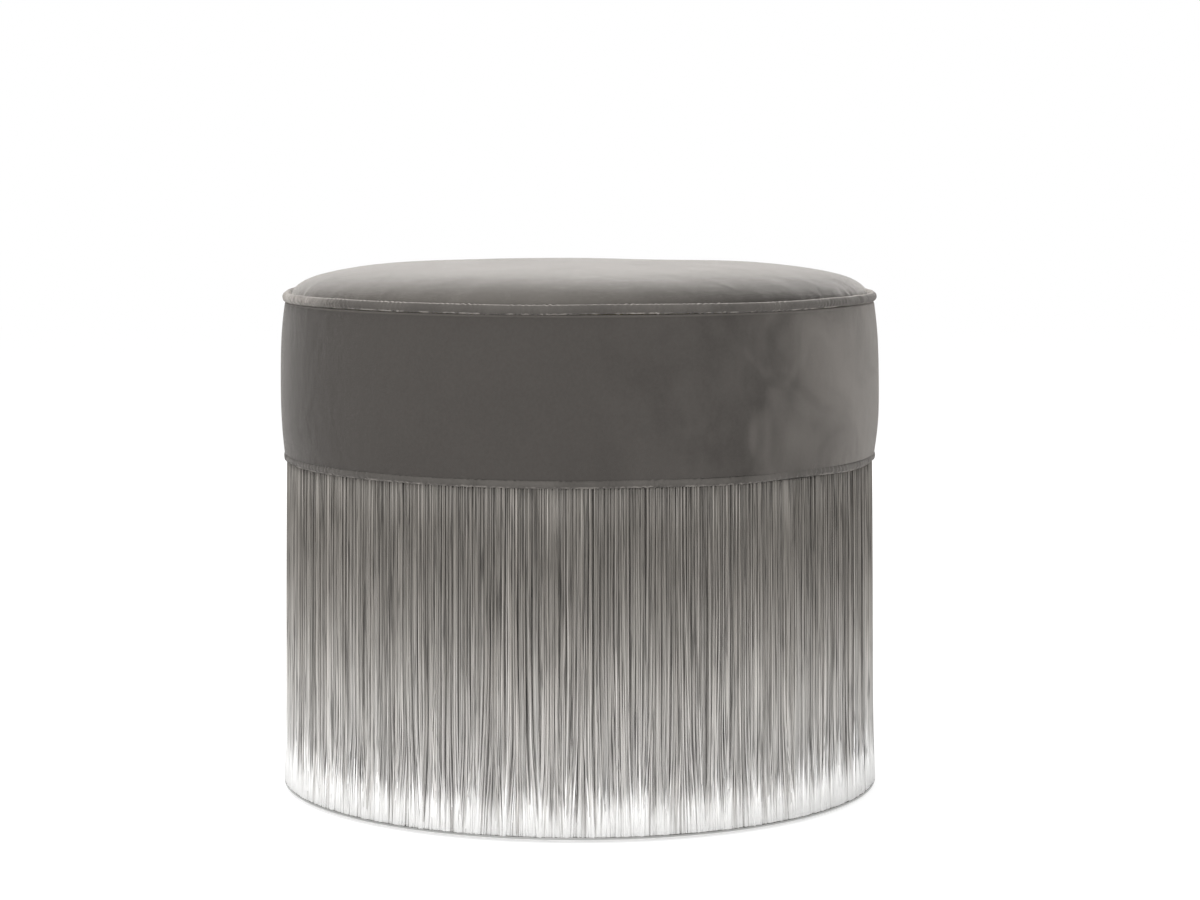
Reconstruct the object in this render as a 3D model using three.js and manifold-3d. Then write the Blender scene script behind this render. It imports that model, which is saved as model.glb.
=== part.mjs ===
// A round tuffet: a velvet seat on a plywood drum, with a long fringe that hangs round the drum
// down to a thin foot plate. Millimetres, Z up. The origin is on the floor under the centre, and
// the front faces -Y.

import * as THREE from 'three';
import { mergeVertices } from 'three/addons/utils/BufferGeometryUtils.js';
import Module from 'manifold-3d';

const wasm = await Module();
wasm.setup();

// Clearance between pieces that touch, and how far a cut runs past a face.
const fit_gap = 0.3;
const cut_overrun = 2;

// Facets in a full turn.
const round_facets = 40;
const screw_facets = 8;
const pad_facets = 12;
const cord_facets = 5;

// The two seams that carry piping, along the centre line of the cord in each.
const seam_radius = 226.5;
const lower_seam_height = 257.5;
const band_height = 123;

// Felt pads, foot plate and dust cover.
const pad_count = 6;
const pad_radius = 11;
const pad_height = 0.9;
const pad_set_back = 27.2;
const plate_set_back = 0.3;
const plate_thickness = 2.8;
const plate_chamfer = 1;
const dust_cover_set_back = 4;
const dust_cover_thickness = 0.5;

// Plywood frame.
const board_thickness = 15;
const seat_board_drop = 35.5;
const vent_radius = 20;
const ring_thickness = 15;
const ring_width = 33;
const ring_drop = 4.5;
const post_count = 6;
const post_depth = 40;
const post_width = 30;
const post_inset = 1.5;
const shell_thickness = 3;

// Wood screws.
const screw_radius = 2;
const screw_head_radius = 4;
const screw_head_height = 2.2;
const screw_tip_length = 3;
const frame_screw_length = 42;
const plate_screw_length = 14;
const plate_screw_count = 6;
const plate_screw_set_back = 62;
const plate_screw_turn_share = 0.5;

// Cloth, foam and wadding.
const velvet_thickness = 1.6;
const lining_thickness = 0.8;
const wadding_thickness = 7;
const seam_allowance = 8;
const band_tail = 8;

// The crown is a superellipse in section, with a slight dome added to it.
const crown_rise = 20.7;
const crown_dome = 3;
const crown_plan_power = 7.2;
const crown_shoulder_power = 1.84;
const crown_angle_shares = [0, 0.04, 0.12, 0.24, 0.4, 0.6, 0.8, 0.92, 1];

// The band swells between its two seams.
const band_top_stand = 1.5;
const band_foot_stand = 2.8;
const band_swell = 3.3;
const band_swell_power = 2.6;
const band_height_shares = [0, 0.16, 0.4, 0.7, 1];

// Piping: a velvet strip folded round a cord.
const piping_radius = 3.5;
const piping_cloth = 1;
const piping_slit = 0.3;
const piping_outer_steps = 6;
const piping_inner_steps = 4;

// Fringe: a woven heading with a thick braid at its foot, and the strands that hang from it.
const quarter_count = 4;
const quarter_names = ['right', 'back', 'left', 'front'];
const strands_per_quarter = 90;
const strand_width = 3;
const strand_depth = 3.2;
const strand_sway = 0.25;
const strand_sway_turn = 2.4;
const strand_top_drop = 1;
const braid_lip = 0.3;
const heading_thickness = 2.2;
const braid_height = 2.6;
const fringe_stand = 1.5;
const fringe_flare = 4.5;
const hem_gap = 0.6;

// Heights that follow from the sizes above.
const upper_seam_height = lower_seam_height + band_height;
const plate_bottom = pad_height + fit_gap;
const plate_top = plate_bottom + plate_thickness;
const dust_cover_bottom = plate_top + fit_gap;
const base_board_bottom = dust_cover_bottom + dust_cover_thickness + fit_gap;
const base_board_top = base_board_bottom + board_thickness;
const ring_bottom = lower_seam_height - ring_drop;
const ring_top = ring_bottom + ring_thickness;
const seat_board_top = upper_seam_height - seat_board_drop;
const seat_board_bottom = seat_board_top - board_thickness;
const band_cover_bottom = lower_seam_height + piping_radius + fit_gap;
const band_cover_top = upper_seam_height - piping_radius - fit_gap;
const flange_half_height = piping_slit / 2 + piping_cloth;
const crown_foot_height = upper_seam_height + flange_half_height + fit_gap;
const heading_top = lower_seam_height - flange_half_height - fit_gap;
const braid_top = lower_seam_height - piping_radius - fit_gap;
const braid_bottom = braid_top - braid_height;

// Radii that follow from the sizes above.
const seam_inner_radius = seam_radius - piping_radius - seam_allowance;
const drum_radius = seam_inner_radius - shell_thickness;
const shell_inner_radius = drum_radius + fit_gap;
const shell_outer_radius = shell_inner_radius + shell_thickness;
const padding_inner_radius = shell_outer_radius + fit_gap;
const seam_throat_radius = seam_radius - piping_radius / 2;
const crown_foot_radius = seam_radius - piping_radius - fit_gap;
const heading_outer_radius = seam_radius - piping_radius - fit_gap;
const heading_inner_radius = heading_outer_radius - heading_thickness;
const tail_outer_radius = heading_inner_radius - fit_gap;
const tail_inner_radius = tail_outer_radius - velvet_thickness;
const ring_outer_radius = tail_inner_radius - fit_gap;
const ring_inner_radius = ring_outer_radius - ring_width;
const post_outer_reach = drum_radius - post_inset;
const post_centre_radius = post_outer_reach - post_depth / 2;
const band_top_radius = seam_radius + band_top_stand;
const band_foot_radius = seam_radius + band_foot_stand;
const fringe_top_radius = seam_radius + fringe_stand;
const fringe_foot_radius = fringe_top_radius + fringe_flare;
const plate_radius = fringe_foot_radius - plate_set_back;
const dust_cover_radius = drum_radius - dust_cover_set_back;
const pad_circle_radius = plate_radius - pad_set_back;
const plate_screw_circle_radius = drum_radius - plate_screw_set_back;

const colours = {
  velvet: { color: 0x55504b, roughness: 0.85, metalness: 0 },
  fringe: { color: 0x8f8b86, roughness: 0.6, metalness: 0 },
  lining: { color: 0x5b5753, roughness: 0.9, metalness: 0 },
  dust_cloth: { color: 0x1d1c1b, roughness: 0.95, metalness: 0 },
  cotton: { color: 0xd8d0c0, roughness: 0.95, metalness: 0 },
  foam: { color: 0xe6dcae, roughness: 0.95, metalness: 0 },
  wadding: { color: 0xf2f1ec, roughness: 1, metalness: 0 },
  plywood: { color: 0xc9a878, roughness: 0.7, metalness: 0 },
  pine: { color: 0xd9bd8c, roughness: 0.7, metalness: 0 },
  felt: { color: 0x3a3835, roughness: 1, metalness: 0 },
  satin_steel: { color: 0xb4b4b2, roughness: 0.35, metalness: 1 },
  zinc: { color: 0xa9abac, roughness: 0.4, metalness: 1 },
};
const materials = Object.fromEntries(
  Object.entries(colours).map(([name, look]) => [name, new THREE.MeshStandardMaterial(look)]),
);

// Turns an outline of [radius, height] points round Z. The outline runs counter-clockwise, and
// either closes on itself or starts and ends on the axis.
function revolve(outline, facets = round_facets) {
  const points = outline.map(([radius, height]) => new THREE.Vector2(radius, height));
  const starts_on_axis = outline[0][0] === 0;
  if (!starts_on_axis) points.push(points[0].clone());
  return new THREE.LatheGeometry(points, facets).rotateX(Math.PI / 2);
}

function tube(inner_radius, outer_radius, bottom, top) {
  return revolve([
    [inner_radius, bottom],
    [outer_radius, bottom],
    [outer_radius, top],
    [inner_radius, top],
  ]);
}

function disc(radius, bottom, top, facets = round_facets) {
  return revolve([[0, bottom], [radius, bottom], [radius, top], [0, top]], facets);
}

function to_solid(geometry) {
  const bare = geometry.index ? geometry.toNonIndexed() : geometry.clone();
  bare.deleteAttribute('normal');
  bare.deleteAttribute('uv');
  const merged = mergeVertices(bare);
  return new wasm.Manifold(
    new wasm.Mesh({
      numProp: 3,
      vertProperties: merged.getAttribute('position').array,
      triVerts: new Uint32Array(merged.index.array),
    }),
  );
}

function to_geometry(solid) {
  const mesh = solid.getMesh();
  const geometry = new THREE.BufferGeometry();
  geometry.setAttribute('position', new THREE.BufferAttribute(mesh.vertProperties, mesh.numProp));
  geometry.setIndex(new THREE.BufferAttribute(mesh.triVerts, 1));
  return geometry;
}

function cut(geometry, tools) {
  return to_geometry(tools.reduce((left, tool) => left.subtract(to_solid(tool)), to_solid(geometry)));
}

const tuffet = new THREE.Group();

function add(name, geometry, material) {
  geometry.computeVertexNormals();
  const mesh = new THREE.Mesh(geometry, materials[material]);
  mesh.name = name;
  tuffet.add(mesh);
}

// Calls place for each of count even steps round a full turn, from turn_share of a step on.
function around(count, turn_share, place) {
  const step = (2 * Math.PI) / count;
  Array.from({ length: count }, (_, index) => place(index, (index + turn_share) * step));
}

function at(geometry, radius, angle) {
  return geometry.clone().translate(radius, 0, 0).rotateZ(angle);
}

// A countersunk screw whose head's flat face lies at head_height, with its tip below it, or above it
// where points_up is set. Spare grows it into the hole that it needs.
function screw(length, head_height, points_up, spare = 0) {
  const shank = screw_radius + spare;
  const head = screw_head_radius + spare;
  const tip = length + spare;
  const top = spare > 0 ? [[head, 0], [head, cut_overrun], [0, cut_overrun]] : [[head, 0], [0, 0]];
  const outline = [[0, -tip], [shank, screw_tip_length - tip], [shank, -screw_head_height], ...top];
  const upright = revolve(outline, screw_facets);
  if (points_up) upright.rotateX(Math.PI);
  return upright.translate(0, 0, head_height);
}

const base_screw = (spare) => screw(frame_screw_length, base_board_bottom, true, spare);
const seat_screw = (spare) => screw(frame_screw_length, seat_board_top, false, spare);
const plate_screw = (spare) => screw(plate_screw_length, plate_bottom, true, spare);

// The holes that one kind of screw needs, all the way round.
function holes(make_screw, count, turn_share, radius) {
  const tools = [];
  around(count, turn_share, (_, angle) => tools.push(at(make_screw(fit_gap), radius, angle)));
  return tools;
}

const plate_holes = holes(plate_screw, plate_screw_count, plate_screw_turn_share, plate_screw_circle_radius);
const base_holes = holes(base_screw, post_count, 0, post_centre_radius);
const seat_holes = holes(seat_screw, post_count, 0, post_centre_radius);

function build_foot() {
  const plate = revolve([
    [0, plate_bottom],
    [plate_radius - plate_chamfer, plate_bottom],
    [plate_radius, plate_bottom + plate_chamfer],
    [plate_radius, plate_top],
    [0, plate_top],
  ]);
  add('foot_plate', cut(plate, plate_holes), 'satin_steel');
  const cover_top = dust_cover_bottom + dust_cover_thickness;
  add('dust_cover', cut(disc(dust_cover_radius, dust_cover_bottom, cover_top), plate_holes), 'dust_cloth');
  const pad = disc(pad_radius, 0, pad_height, pad_facets);
  around(pad_count, 0, (index, angle) => {
    add(`felt_pad_${index + 1}`, at(pad, pad_circle_radius, angle), 'felt');
  });
  around(plate_screw_count, plate_screw_turn_share, (index, angle) => {
    add(`plate_screw_${index + 1}`, at(plate_screw(), plate_screw_circle_radius, angle), 'zinc');
  });
}

function build_frame() {
  const base_board = disc(drum_radius, base_board_bottom, base_board_top);
  add('base_board', cut(base_board, [...base_holes, ...plate_holes]), 'plywood');

  const seat_board = tube(vent_radius, drum_radius, seat_board_bottom, seat_board_top);
  add('seat_board', cut(seat_board, seat_holes), 'plywood');

  const post_bottom = base_board_top + fit_gap;
  const post_height = seat_board_bottom - fit_gap - post_bottom;
  const post = new THREE.BoxGeometry(post_depth, post_width, post_height);
  post.translate(0, 0, post_bottom + post_height / 2);
  const drilled_post = cut(post, [base_screw(fit_gap), seat_screw(fit_gap)]);
  around(post_count, 0, (index, angle) => {
    add(`post_${index + 1}`, at(drilled_post, post_centre_radius, angle), 'pine');
    add(`base_screw_${index + 1}`, at(base_screw(), post_centre_radius, angle), 'zinc');
    add(`seat_screw_${index + 1}`, at(seat_screw(), post_centre_radius, angle), 'zinc');
  });

  // Each notch is open towards the centre and ends just past its post's outer face.
  const notch_outer_reach = post_outer_reach + fit_gap;
  const notch_depth = notch_outer_reach - ring_inner_radius + cut_overrun;
  const notch_width = post_width + 2 * fit_gap;
  const notch_height = ring_thickness + 2 * cut_overrun;
  const notch = new THREE.BoxGeometry(notch_depth, notch_width, notch_height);
  notch.translate(0, 0, ring_bottom + ring_thickness / 2);
  const notches = [];
  around(post_count, 0, (_, angle) => notches.push(at(notch, notch_outer_reach - notch_depth / 2, angle)));
  const ring = tube(ring_inner_radius, ring_outer_radius, ring_bottom, ring_top);
  add('middle_ring', cut(ring, notches), 'plywood');

  const skirt_top = ring_bottom - fit_gap;
  add('skirt_shell', tube(shell_inner_radius, shell_outer_radius, base_board_bottom, skirt_top), 'plywood');
  add('band_shell', tube(shell_inner_radius, shell_outer_radius, ring_top + fit_gap, seat_board_top), 'plywood');
  const lining_outer_radius = padding_inner_radius + lining_thickness;
  add('skirt_lining', tube(padding_inner_radius, lining_outer_radius, base_board_bottom, skirt_top), 'lining');
}

// The crown's section, from its foot to the centre, taken in by inset from the velvet's outer face.
function crown_section(inset, angle_shares) {
  const radius = crown_foot_radius - inset;
  const rise = crown_rise - inset;
  return angle_shares.map((share) => {
    const angle = (share * Math.PI) / 2;
    const out = share === 1 ? 0 : radius * Math.cos(angle) ** (2 / crown_plan_power);
    const up = rise * Math.sin(angle) ** (2 / crown_shoulder_power);
    return [out, crown_foot_height + up + crown_dome * (1 - (out / radius) ** 2)];
  });
}

function build_seat() {
  // The velvet turns in over the piping's flange, and its inner face follows the outer one.
  const lap_shares = crown_angle_shares.slice(2);
  const cover_inside = crown_section(velvet_thickness, lap_shares).reverse();
  const turn_in_top = crown_foot_height + velvet_thickness;
  const cover_inner_edge = cover_inside[cover_inside.length - 1][0];
  const cover = [
    ...cover_inside,
    [cover_inner_edge, turn_in_top],
    [seam_inner_radius, turn_in_top],
    [seam_inner_radius, crown_foot_height],
    ...crown_section(0, crown_angle_shares),
  ];
  add('top_cover', revolve(cover), 'velvet');

  // The wadding lies on the foam, and its edge rests on the turned-in velvet.
  const foam_shares = crown_angle_shares.slice(4);
  const wadding_inset = velvet_thickness + fit_gap;
  const wadding_inner_inset = wadding_inset + wadding_thickness;
  const wadding_outside = crown_section(wadding_inset, lap_shares);
  const wadding_foot = turn_in_top + fit_gap;
  const wadding = [
    ...crown_section(wadding_inner_inset, foam_shares).reverse(),
    [seam_inner_radius, wadding_foot],
    [wadding_outside[0][0], wadding_foot],
    ...wadding_outside,
  ];
  add('seat_wadding', revolve(wadding), 'wadding');

  const foam_bottom = seat_board_top + fit_gap;
  const foam_side = seam_inner_radius - fit_gap;
  const foam = [
    [0, foam_bottom],
    [foam_side, foam_bottom],
    [foam_side, turn_in_top],
    ...crown_section(wadding_inner_inset + fit_gap, foam_shares),
  ];
  add('seat_foam', revolve(foam), 'foam');
}

// The band's outer face between the seams, taken in by inset, from its foot upwards.
function band_section(inset) {
  const height = band_cover_top - band_cover_bottom;
  return band_height_shares.map((share) => {
    const straight = band_foot_radius + (band_top_radius - band_foot_radius) * share;
    const swell = band_swell * (1 - Math.abs(2 * share - 1) ** band_swell_power);
    return [straight + swell - inset, band_cover_bottom + height * share];
  });
}

function build_band() {
  // The cover turns in under the top piping, and its tail goes down between ring and fringe.
  const turn_in_top = upper_seam_height - flange_half_height - fit_gap;
  const turn_in_bottom = turn_in_top - velvet_thickness;
  const throat_inner_radius = seam_throat_radius - velvet_thickness / 2;
  const turn_inner_radius = crown_foot_radius - velvet_thickness / 2;
  const foot_turn_top = band_cover_bottom + velvet_thickness;
  const under_throat = band_cover_top - velvet_thickness;
  const cover = [
    [tail_inner_radius, band_cover_bottom - band_tail],
    [tail_outer_radius, band_cover_bottom - band_tail],
    [tail_outer_radius, band_cover_bottom],
    ...band_section(0),
    [seam_throat_radius, band_cover_top],
    [crown_foot_radius, turn_in_top],
    [seam_inner_radius, turn_in_top],
    [seam_inner_radius, turn_in_bottom],
    [turn_inner_radius, turn_in_bottom],
    [throat_inner_radius, under_throat],
    [band_top_radius - velvet_thickness, under_throat],
    ...band_section(velvet_thickness).slice(1, -1).reverse(),
    [band_foot_radius - velvet_thickness, foot_turn_top],
    [tail_inner_radius, foot_turn_top],
  ];
  add('band_cover', revolve(cover), 'velvet');

  const foam_inset = velvet_thickness + fit_gap;
  const foam_foot = foot_turn_top + fit_gap;
  const foam_step = ring_top + fit_gap;
  const foam_top = band_cover_top - foam_inset;
  const foam = [
    [padding_inner_radius, foam_step],
    [tail_inner_radius, foam_step],
    [tail_inner_radius, foam_foot],
    [band_foot_radius - foam_inset, foam_foot],
    ...band_section(foam_inset).slice(1, -1),
    [band_top_radius - foam_inset, foam_top],
    [padding_inner_radius, foam_top],
  ];
  add('band_foam', revolve(foam), 'foam');
}

// A strip wrapped round the cord: a slit tube whose two edges run inwards, as far as edge_radius.
function piping_strip(height, edge_radius) {
  const inner_radius = piping_radius - piping_cloth;
  const arc = (radius, mouth, steps) =>
    Array.from({ length: steps + 1 }, (_, step) => {
      const angle = Math.PI - mouth - (2 * (Math.PI - mouth) * step) / steps;
      return [seam_radius + radius * Math.cos(angle), height + radius * Math.sin(angle)];
    });
  const outer_mouth = Math.asin(flange_half_height / piping_radius);
  const inner_mouth = Math.asin(piping_slit / 2 / inner_radius);
  const slit_edge = [
    [edge_radius, height + piping_slit / 2],
    [edge_radius, height + flange_half_height],
  ];
  const mirrored = slit_edge.map(([radius, level]) => [radius, 2 * height - level]).reverse();
  const clockwise = [
    ...slit_edge,
    ...arc(piping_radius, outer_mouth, piping_outer_steps),
    ...mirrored,
    ...arc(inner_radius, inner_mouth, piping_inner_steps).reverse(),
  ];
  return revolve(clockwise.reverse());
}

function piping_cord(height) {
  const radius = (piping_radius - piping_cloth) * Math.cos(Math.PI / piping_inner_steps) - fit_gap;
  const outline = Array.from({ length: cord_facets }, (_, step) => {
    const angle = (2 * Math.PI * step) / cord_facets;
    return [seam_radius + radius * Math.cos(angle), height + radius * Math.sin(angle)];
  });
  return revolve(outline);
}

function build_piping() {
  add('top_piping', piping_strip(upper_seam_height, seam_inner_radius), 'velvet');
  add('top_piping_cord', piping_cord(upper_seam_height), 'cotton');
  add('bottom_piping', piping_strip(lower_seam_height, heading_inner_radius), 'velvet');
  add('bottom_piping_cord', piping_cord(lower_seam_height), 'cotton');
}

// One strand: a slim three-sided prism with an edge facing outwards, from the braid to the hem.
function strand(index, pitch) {
  const angle = (index + 1 / 2) * pitch;
  const sway = strand_sway * Math.sin(index * strand_sway_turn);
  const top = braid_top - strand_top_drop;
  const bottom = plate_top + hem_gap;
  const corners = (tip_radius, height, sideways) => {
    const section = [
      [tip_radius, sideways],
      [tip_radius - strand_depth, sideways + strand_width / 2],
      [tip_radius - strand_depth, sideways - strand_width / 2],
    ];
    return section.map(([out, side]) => new THREE.Vector3(out, side, height));
  };
  const points = [...corners(fringe_foot_radius, bottom, sway), ...corners(fringe_top_radius, top, 0)];
  const faces = [0, 2, 1, 3, 4, 5, 0, 1, 4, 0, 4, 3, 1, 2, 5, 1, 5, 4, 2, 0, 3, 2, 3, 5];
  const geometry = new THREE.BufferGeometry().setFromPoints(points);
  geometry.setIndex(faces);
  return geometry.rotateZ(angle);
}

// A quarter turn of the heading, with a small gap to the next quarter at each end.
function heading_quarter() {
  const braid_outer_radius = fringe_top_radius / Math.cos(Math.PI / round_facets) + braid_lip;
  const ring = revolve([
    [heading_inner_radius, braid_bottom],
    [braid_outer_radius, braid_bottom],
    [braid_outer_radius, braid_top],
    [heading_outer_radius, braid_top],
    [heading_outer_radius, heading_top],
    [heading_inner_radius, heading_top],
  ]);
  const reach = braid_outer_radius + cut_overrun;
  const tall = heading_top - braid_bottom + 2 * cut_overrun;
  const quarter = new THREE.BoxGeometry(reach, reach, tall);
  quarter.translate((reach + fit_gap) / 2, (reach + fit_gap) / 2, braid_bottom - cut_overrun + tall / 2);
  return to_solid(ring).intersect(to_solid(quarter));
}

function build_fringe() {
  const pitch = (2 * Math.PI) / quarter_count / strands_per_quarter;
  const strands = Array.from({ length: strands_per_quarter }, (_, index) => to_solid(strand(index, pitch)));
  const quarter = to_geometry(wasm.Manifold.union([heading_quarter(), ...strands]));
  const first_turn = -Math.PI / quarter_count;
  quarter_names.forEach((side, index) => {
    const turn = first_turn + (index * 2 * Math.PI) / quarter_count;
    add(`fringe_${side}`, quarter.clone().rotateZ(turn), 'fringe');
  });
}

build_foot();
build_frame();
build_seat();
build_band();
build_piping();
build_fringe();

export default tuffet;
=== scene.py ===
"""The looks of a fringed round tuffet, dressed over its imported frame.

Metres, Z up, the front faces -Y. Velvet crown and band, two velvet welts, a long ombre fringe, and the
wood, foam and steel inside and underneath.
"""

import logging
import math
from collections.abc import Mapping, Sequence
from dataclasses import dataclass, field
from enum import Enum

import bpy
import numpy as np
from numpy.typing import NDArray
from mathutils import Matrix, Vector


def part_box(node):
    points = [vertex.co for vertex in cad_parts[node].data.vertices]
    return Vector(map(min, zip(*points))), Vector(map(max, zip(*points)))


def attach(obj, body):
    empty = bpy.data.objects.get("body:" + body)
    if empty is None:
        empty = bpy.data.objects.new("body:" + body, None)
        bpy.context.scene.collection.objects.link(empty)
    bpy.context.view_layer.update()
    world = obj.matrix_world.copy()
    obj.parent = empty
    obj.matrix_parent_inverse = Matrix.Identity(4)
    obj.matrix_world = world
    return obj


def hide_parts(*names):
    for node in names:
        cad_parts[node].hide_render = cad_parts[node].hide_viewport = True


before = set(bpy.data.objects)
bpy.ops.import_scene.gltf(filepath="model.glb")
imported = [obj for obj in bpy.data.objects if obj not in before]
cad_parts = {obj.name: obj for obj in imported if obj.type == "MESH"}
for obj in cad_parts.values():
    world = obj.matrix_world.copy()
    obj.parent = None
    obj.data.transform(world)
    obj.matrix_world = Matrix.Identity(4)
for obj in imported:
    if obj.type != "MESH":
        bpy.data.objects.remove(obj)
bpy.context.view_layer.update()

Floats = NDArray[np.float64]
Indices = NDArray[np.int64]
Colour = tuple[float, float, float]
Socket = bpy.types.NodeSocket

SHARP_ANGLE = math.radians(35)
TURN = 2 * math.pi
ROOT = "root"
log = logging.getLogger("tuffet")


class Side(Enum):
    """The quarters of the fringe, each with the direction that its middle faces."""

    RIGHT = 0.0
    BACK = 0.25
    LEFT = 0.5
    FRONT = 0.75


class Grain(Enum):
    """The direction in which wood grain or a ply's edge runs."""

    ALONG_BOARD = (6.0, 90.0, 90.0)
    ALONG_POST = (120.0, 120.0, 6.0)


# Shapes


@dataclass
class Ring:
    """The reach of a CAD node that goes round the axis: its outer radius and its lowest and highest level."""

    radius: float
    low: float
    high: float

    @classmethod
    def of(cls, node: str) -> "Ring":
        """Measures a CAD node.

        Args:
            node: the node's name.

        Returns:
            Its ring.
        """
        lowest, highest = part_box(node)
        return cls(radius=highest.x, low=lowest.z, high=highest.z)

    @property
    def middle(self) -> float:
        """The level halfway up."""
        return (self.low + self.high) / 2


class RingNoise:
    """Smooth random unevenness round a full turn and along a surface: a sum of sine waves."""

    def __init__(self, seed: int, waves: tuple[int, int], across: float = 0.0, count: int = 28) -> None:
        """Draws the waves.

        Args:
            seed: makes the unevenness the same on each run.
            waves: the fewest and most waves in a full turn.
            across: the most radians of phase for each unit along the surface.
            count: how many waves are summed.
        """
        draw = np.random.default_rng(seed)
        self.turns = draw.integers(waves[0], waves[1] + 1, count)
        self.across = draw.uniform(-across, across, count)
        self.phases = draw.uniform(0, TURN, count)
        self.weights = draw.normal(0, math.sqrt(2 / count), count)

    def at(self, angle: Floats, along: Floats | float = 0.0) -> Floats:
        """Sums weight * sin(turns * angle + across * along + phase) over the waves.

        Args:
            angle: where round the turn, in radians.
            along: where along the surface.

        Returns:
            The unevenness, about -1 to 1 and 0 on average.
        """
        total = np.zeros(np.broadcast(angle, along).shape)
        for turns, across, phase, weight in zip(self.turns, self.across, self.phases, self.weights):
            total += weight * np.sin(turns * angle + across * along + phase)
        return total


def ease(share: Floats | float, start: float = 0.0, end: float = 1.0) -> Floats:
    """Rises smoothly from 0 to 1 between start and end: 3s^2 - 2s^3.

    Args:
        share: the value that rises.
        start: where the rise starts.
        end: where it ends.

    Returns:
        The eased value.
    """
    clipped = np.clip((np.asarray(share) - start) / (end - start), 0, 1)
    return clipped * clipped * (3 - 2 * clipped)


def make_object(name: str, points: Floats, faces: list[list[int]], maps: Mapping[str, Floats]) -> bpy.types.Object:
    """Puts points and faces into a smooth-shaded mesh object at the origin.

    Args:
        name: the piece's name.
        points: the vertices, count by 3.
        faces: the vertex numbers of each face.
        maps: UV maps by name, with two numbers for each face corner in order.

    Returns:
        The object, linked to the scene.
    """
    mesh = bpy.data.meshes.new(name)
    mesh.from_pydata(points.reshape(-1, 3).tolist(), [], faces)
    for map_name, corners in maps.items():
        layer = mesh.uv_layers.new(name=map_name)
        layer.data.foreach_set("uv", corners.astype(np.float32).ravel())
    mesh.polygons.foreach_set("use_smooth", np.ones(len(mesh.polygons), bool))
    mesh.update()
    piece = bpy.data.objects.new(name, mesh)
    bpy.context.scene.collection.objects.link(piece)
    return piece


def revolve(
    name: str,
    radii: Floats,
    levels: Floats,
    columns: int,
    push: Floats | float = 0.0,
    lift: Floats | float = 0.0,
    closed: bool = False,
) -> bpy.types.Object:
    """Turns a profile round Z: x = r cos a, y = r sin a, z = level, for evenly spaced angles a.

    The profile runs counter-clockwise seen with the radius to the right. It closes on itself, or starts
    and ends on the axis, where its row of points becomes one pole.

    Args:
        name: the piece's name.
        radii: the profile's radii.
        levels: the profile's levels.
        columns: how many points go round.
        push: outward moves, profile points by columns.
        lift: upward moves, profile points by columns.
        closed: True where the profile's last point joins its first.

    Returns:
        The object, with a UV map "cloth" in metres round and along.
    """
    angles = np.arange(columns) * TURN / columns
    out = radii[:, None] + np.broadcast_to(push, (len(radii), columns))
    up = levels[:, None] + np.broadcast_to(lift, (len(radii), columns))
    points = np.stack([out * np.cos(angles), out * np.sin(angles), up], axis=-1)
    steps = np.hypot(np.diff(radii, append=radii[:1]), np.diff(levels, append=levels[:1]))
    along = np.concatenate([[0.0], np.cumsum(steps)])
    rows = len(radii) if closed else len(radii) - 1
    row, column = (grid.ravel() for grid in np.meshgrid(np.arange(rows), np.arange(columns), indexing="ij"))
    corner_row = np.stack([row, row, row + 1, row + 1], axis=-1)
    corner_column = np.stack([column, column + 1, column + 1, column], axis=-1)
    around = corner_column * (TURN * radii.max() / columns)
    corners = np.stack([around, along[corner_row]], axis=-1)
    numbers = (corner_row % len(radii)) * columns + corner_column % columns
    if closed:
        return make_object(name, points, numbers.tolist(), {"cloth": corners})
    first_pole = np.array([[0, 0, up[0].mean()]])
    last_pole = np.array([[0, 0, up[-1].mean()]])
    inner = points[1:-1].reshape(-1, 3)
    all_points = np.concatenate([first_pole, inner, last_pole])
    first, last = row == 0, row == rows - 1
    body = ~(first | last)
    shifted = numbers - columns + 1
    faces = shifted[body].tolist()
    first_fan = shifted[first][:, [2, 3]]
    last_fan = shifted[last][:, [0, 1]]
    faces += np.column_stack([np.zeros(columns, int), first_fan]).tolist()
    faces += np.column_stack([last_fan, np.full(columns, len(all_points) - 1)]).tolist()
    fan_corners = np.concatenate([corners[first][:, [0, 2, 3]], corners[last][:, [0, 1, 2]]])
    flat = np.concatenate([corners[body].reshape(-1, 2), fan_corners.reshape(-1, 2)])
    return make_object(name, all_points, faces, {"cloth": flat})


def rounded_outline(corners: Sequence[tuple[float, float, float]], steps: int = 4) -> tuple[Floats, Floats]:
    """Rounds the corners of an outline: each corner becomes a curve (1-t)^2 a + 2t(1-t) c + t^2 b.

    Args:
        corners: radius, level and rounding of each corner; a corner with rounding 0 stays one point.
        steps: the curve's steps at each rounded corner.

    Returns:
        The outline's radii and levels.
    """
    places = np.array([corner[:2] for corner in corners])
    before, after = np.roll(places, 1, axis=0), np.roll(places, -1, axis=0)
    rounded: list[Floats] = []
    share = np.linspace(0, 1, steps + 1)[:, None]
    for place, last, following, corner in zip(places, before, after, corners):
        if corner[2] == 0:
            rounded.append(place[None])
            continue
        start = place + (last - place) / np.linalg.norm(last - place) * corner[2]
        end = place + (following - place) / np.linalg.norm(following - place) * corner[2]
        rounded.append((1 - share) ** 2 * start + 2 * share * (1 - share) * place + share**2 * end)
    outline = np.concatenate(rounded)
    return outline[:, 0], outline[:, 1]


def move(piece: bpy.types.Object, offset: Sequence[float], factors: Sequence[float] = (1.0, 1.0, 1.0)) -> None:
    """Moves the points of a piece: point * factors + offset.

    Args:
        piece: the piece whose points move.
        offset: the move.
        factors: what each axis is multiplied by first; -1 on two axes is half a turn.
    """
    points = np.zeros(len(piece.data.vertices) * 3)
    piece.data.vertices.foreach_get("co", points)
    moved = points.reshape(-1, 3) * np.array(factors) + np.array(offset)
    piece.data.vertices.foreach_set("co", moved.ravel())
    piece.data.update()


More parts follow.
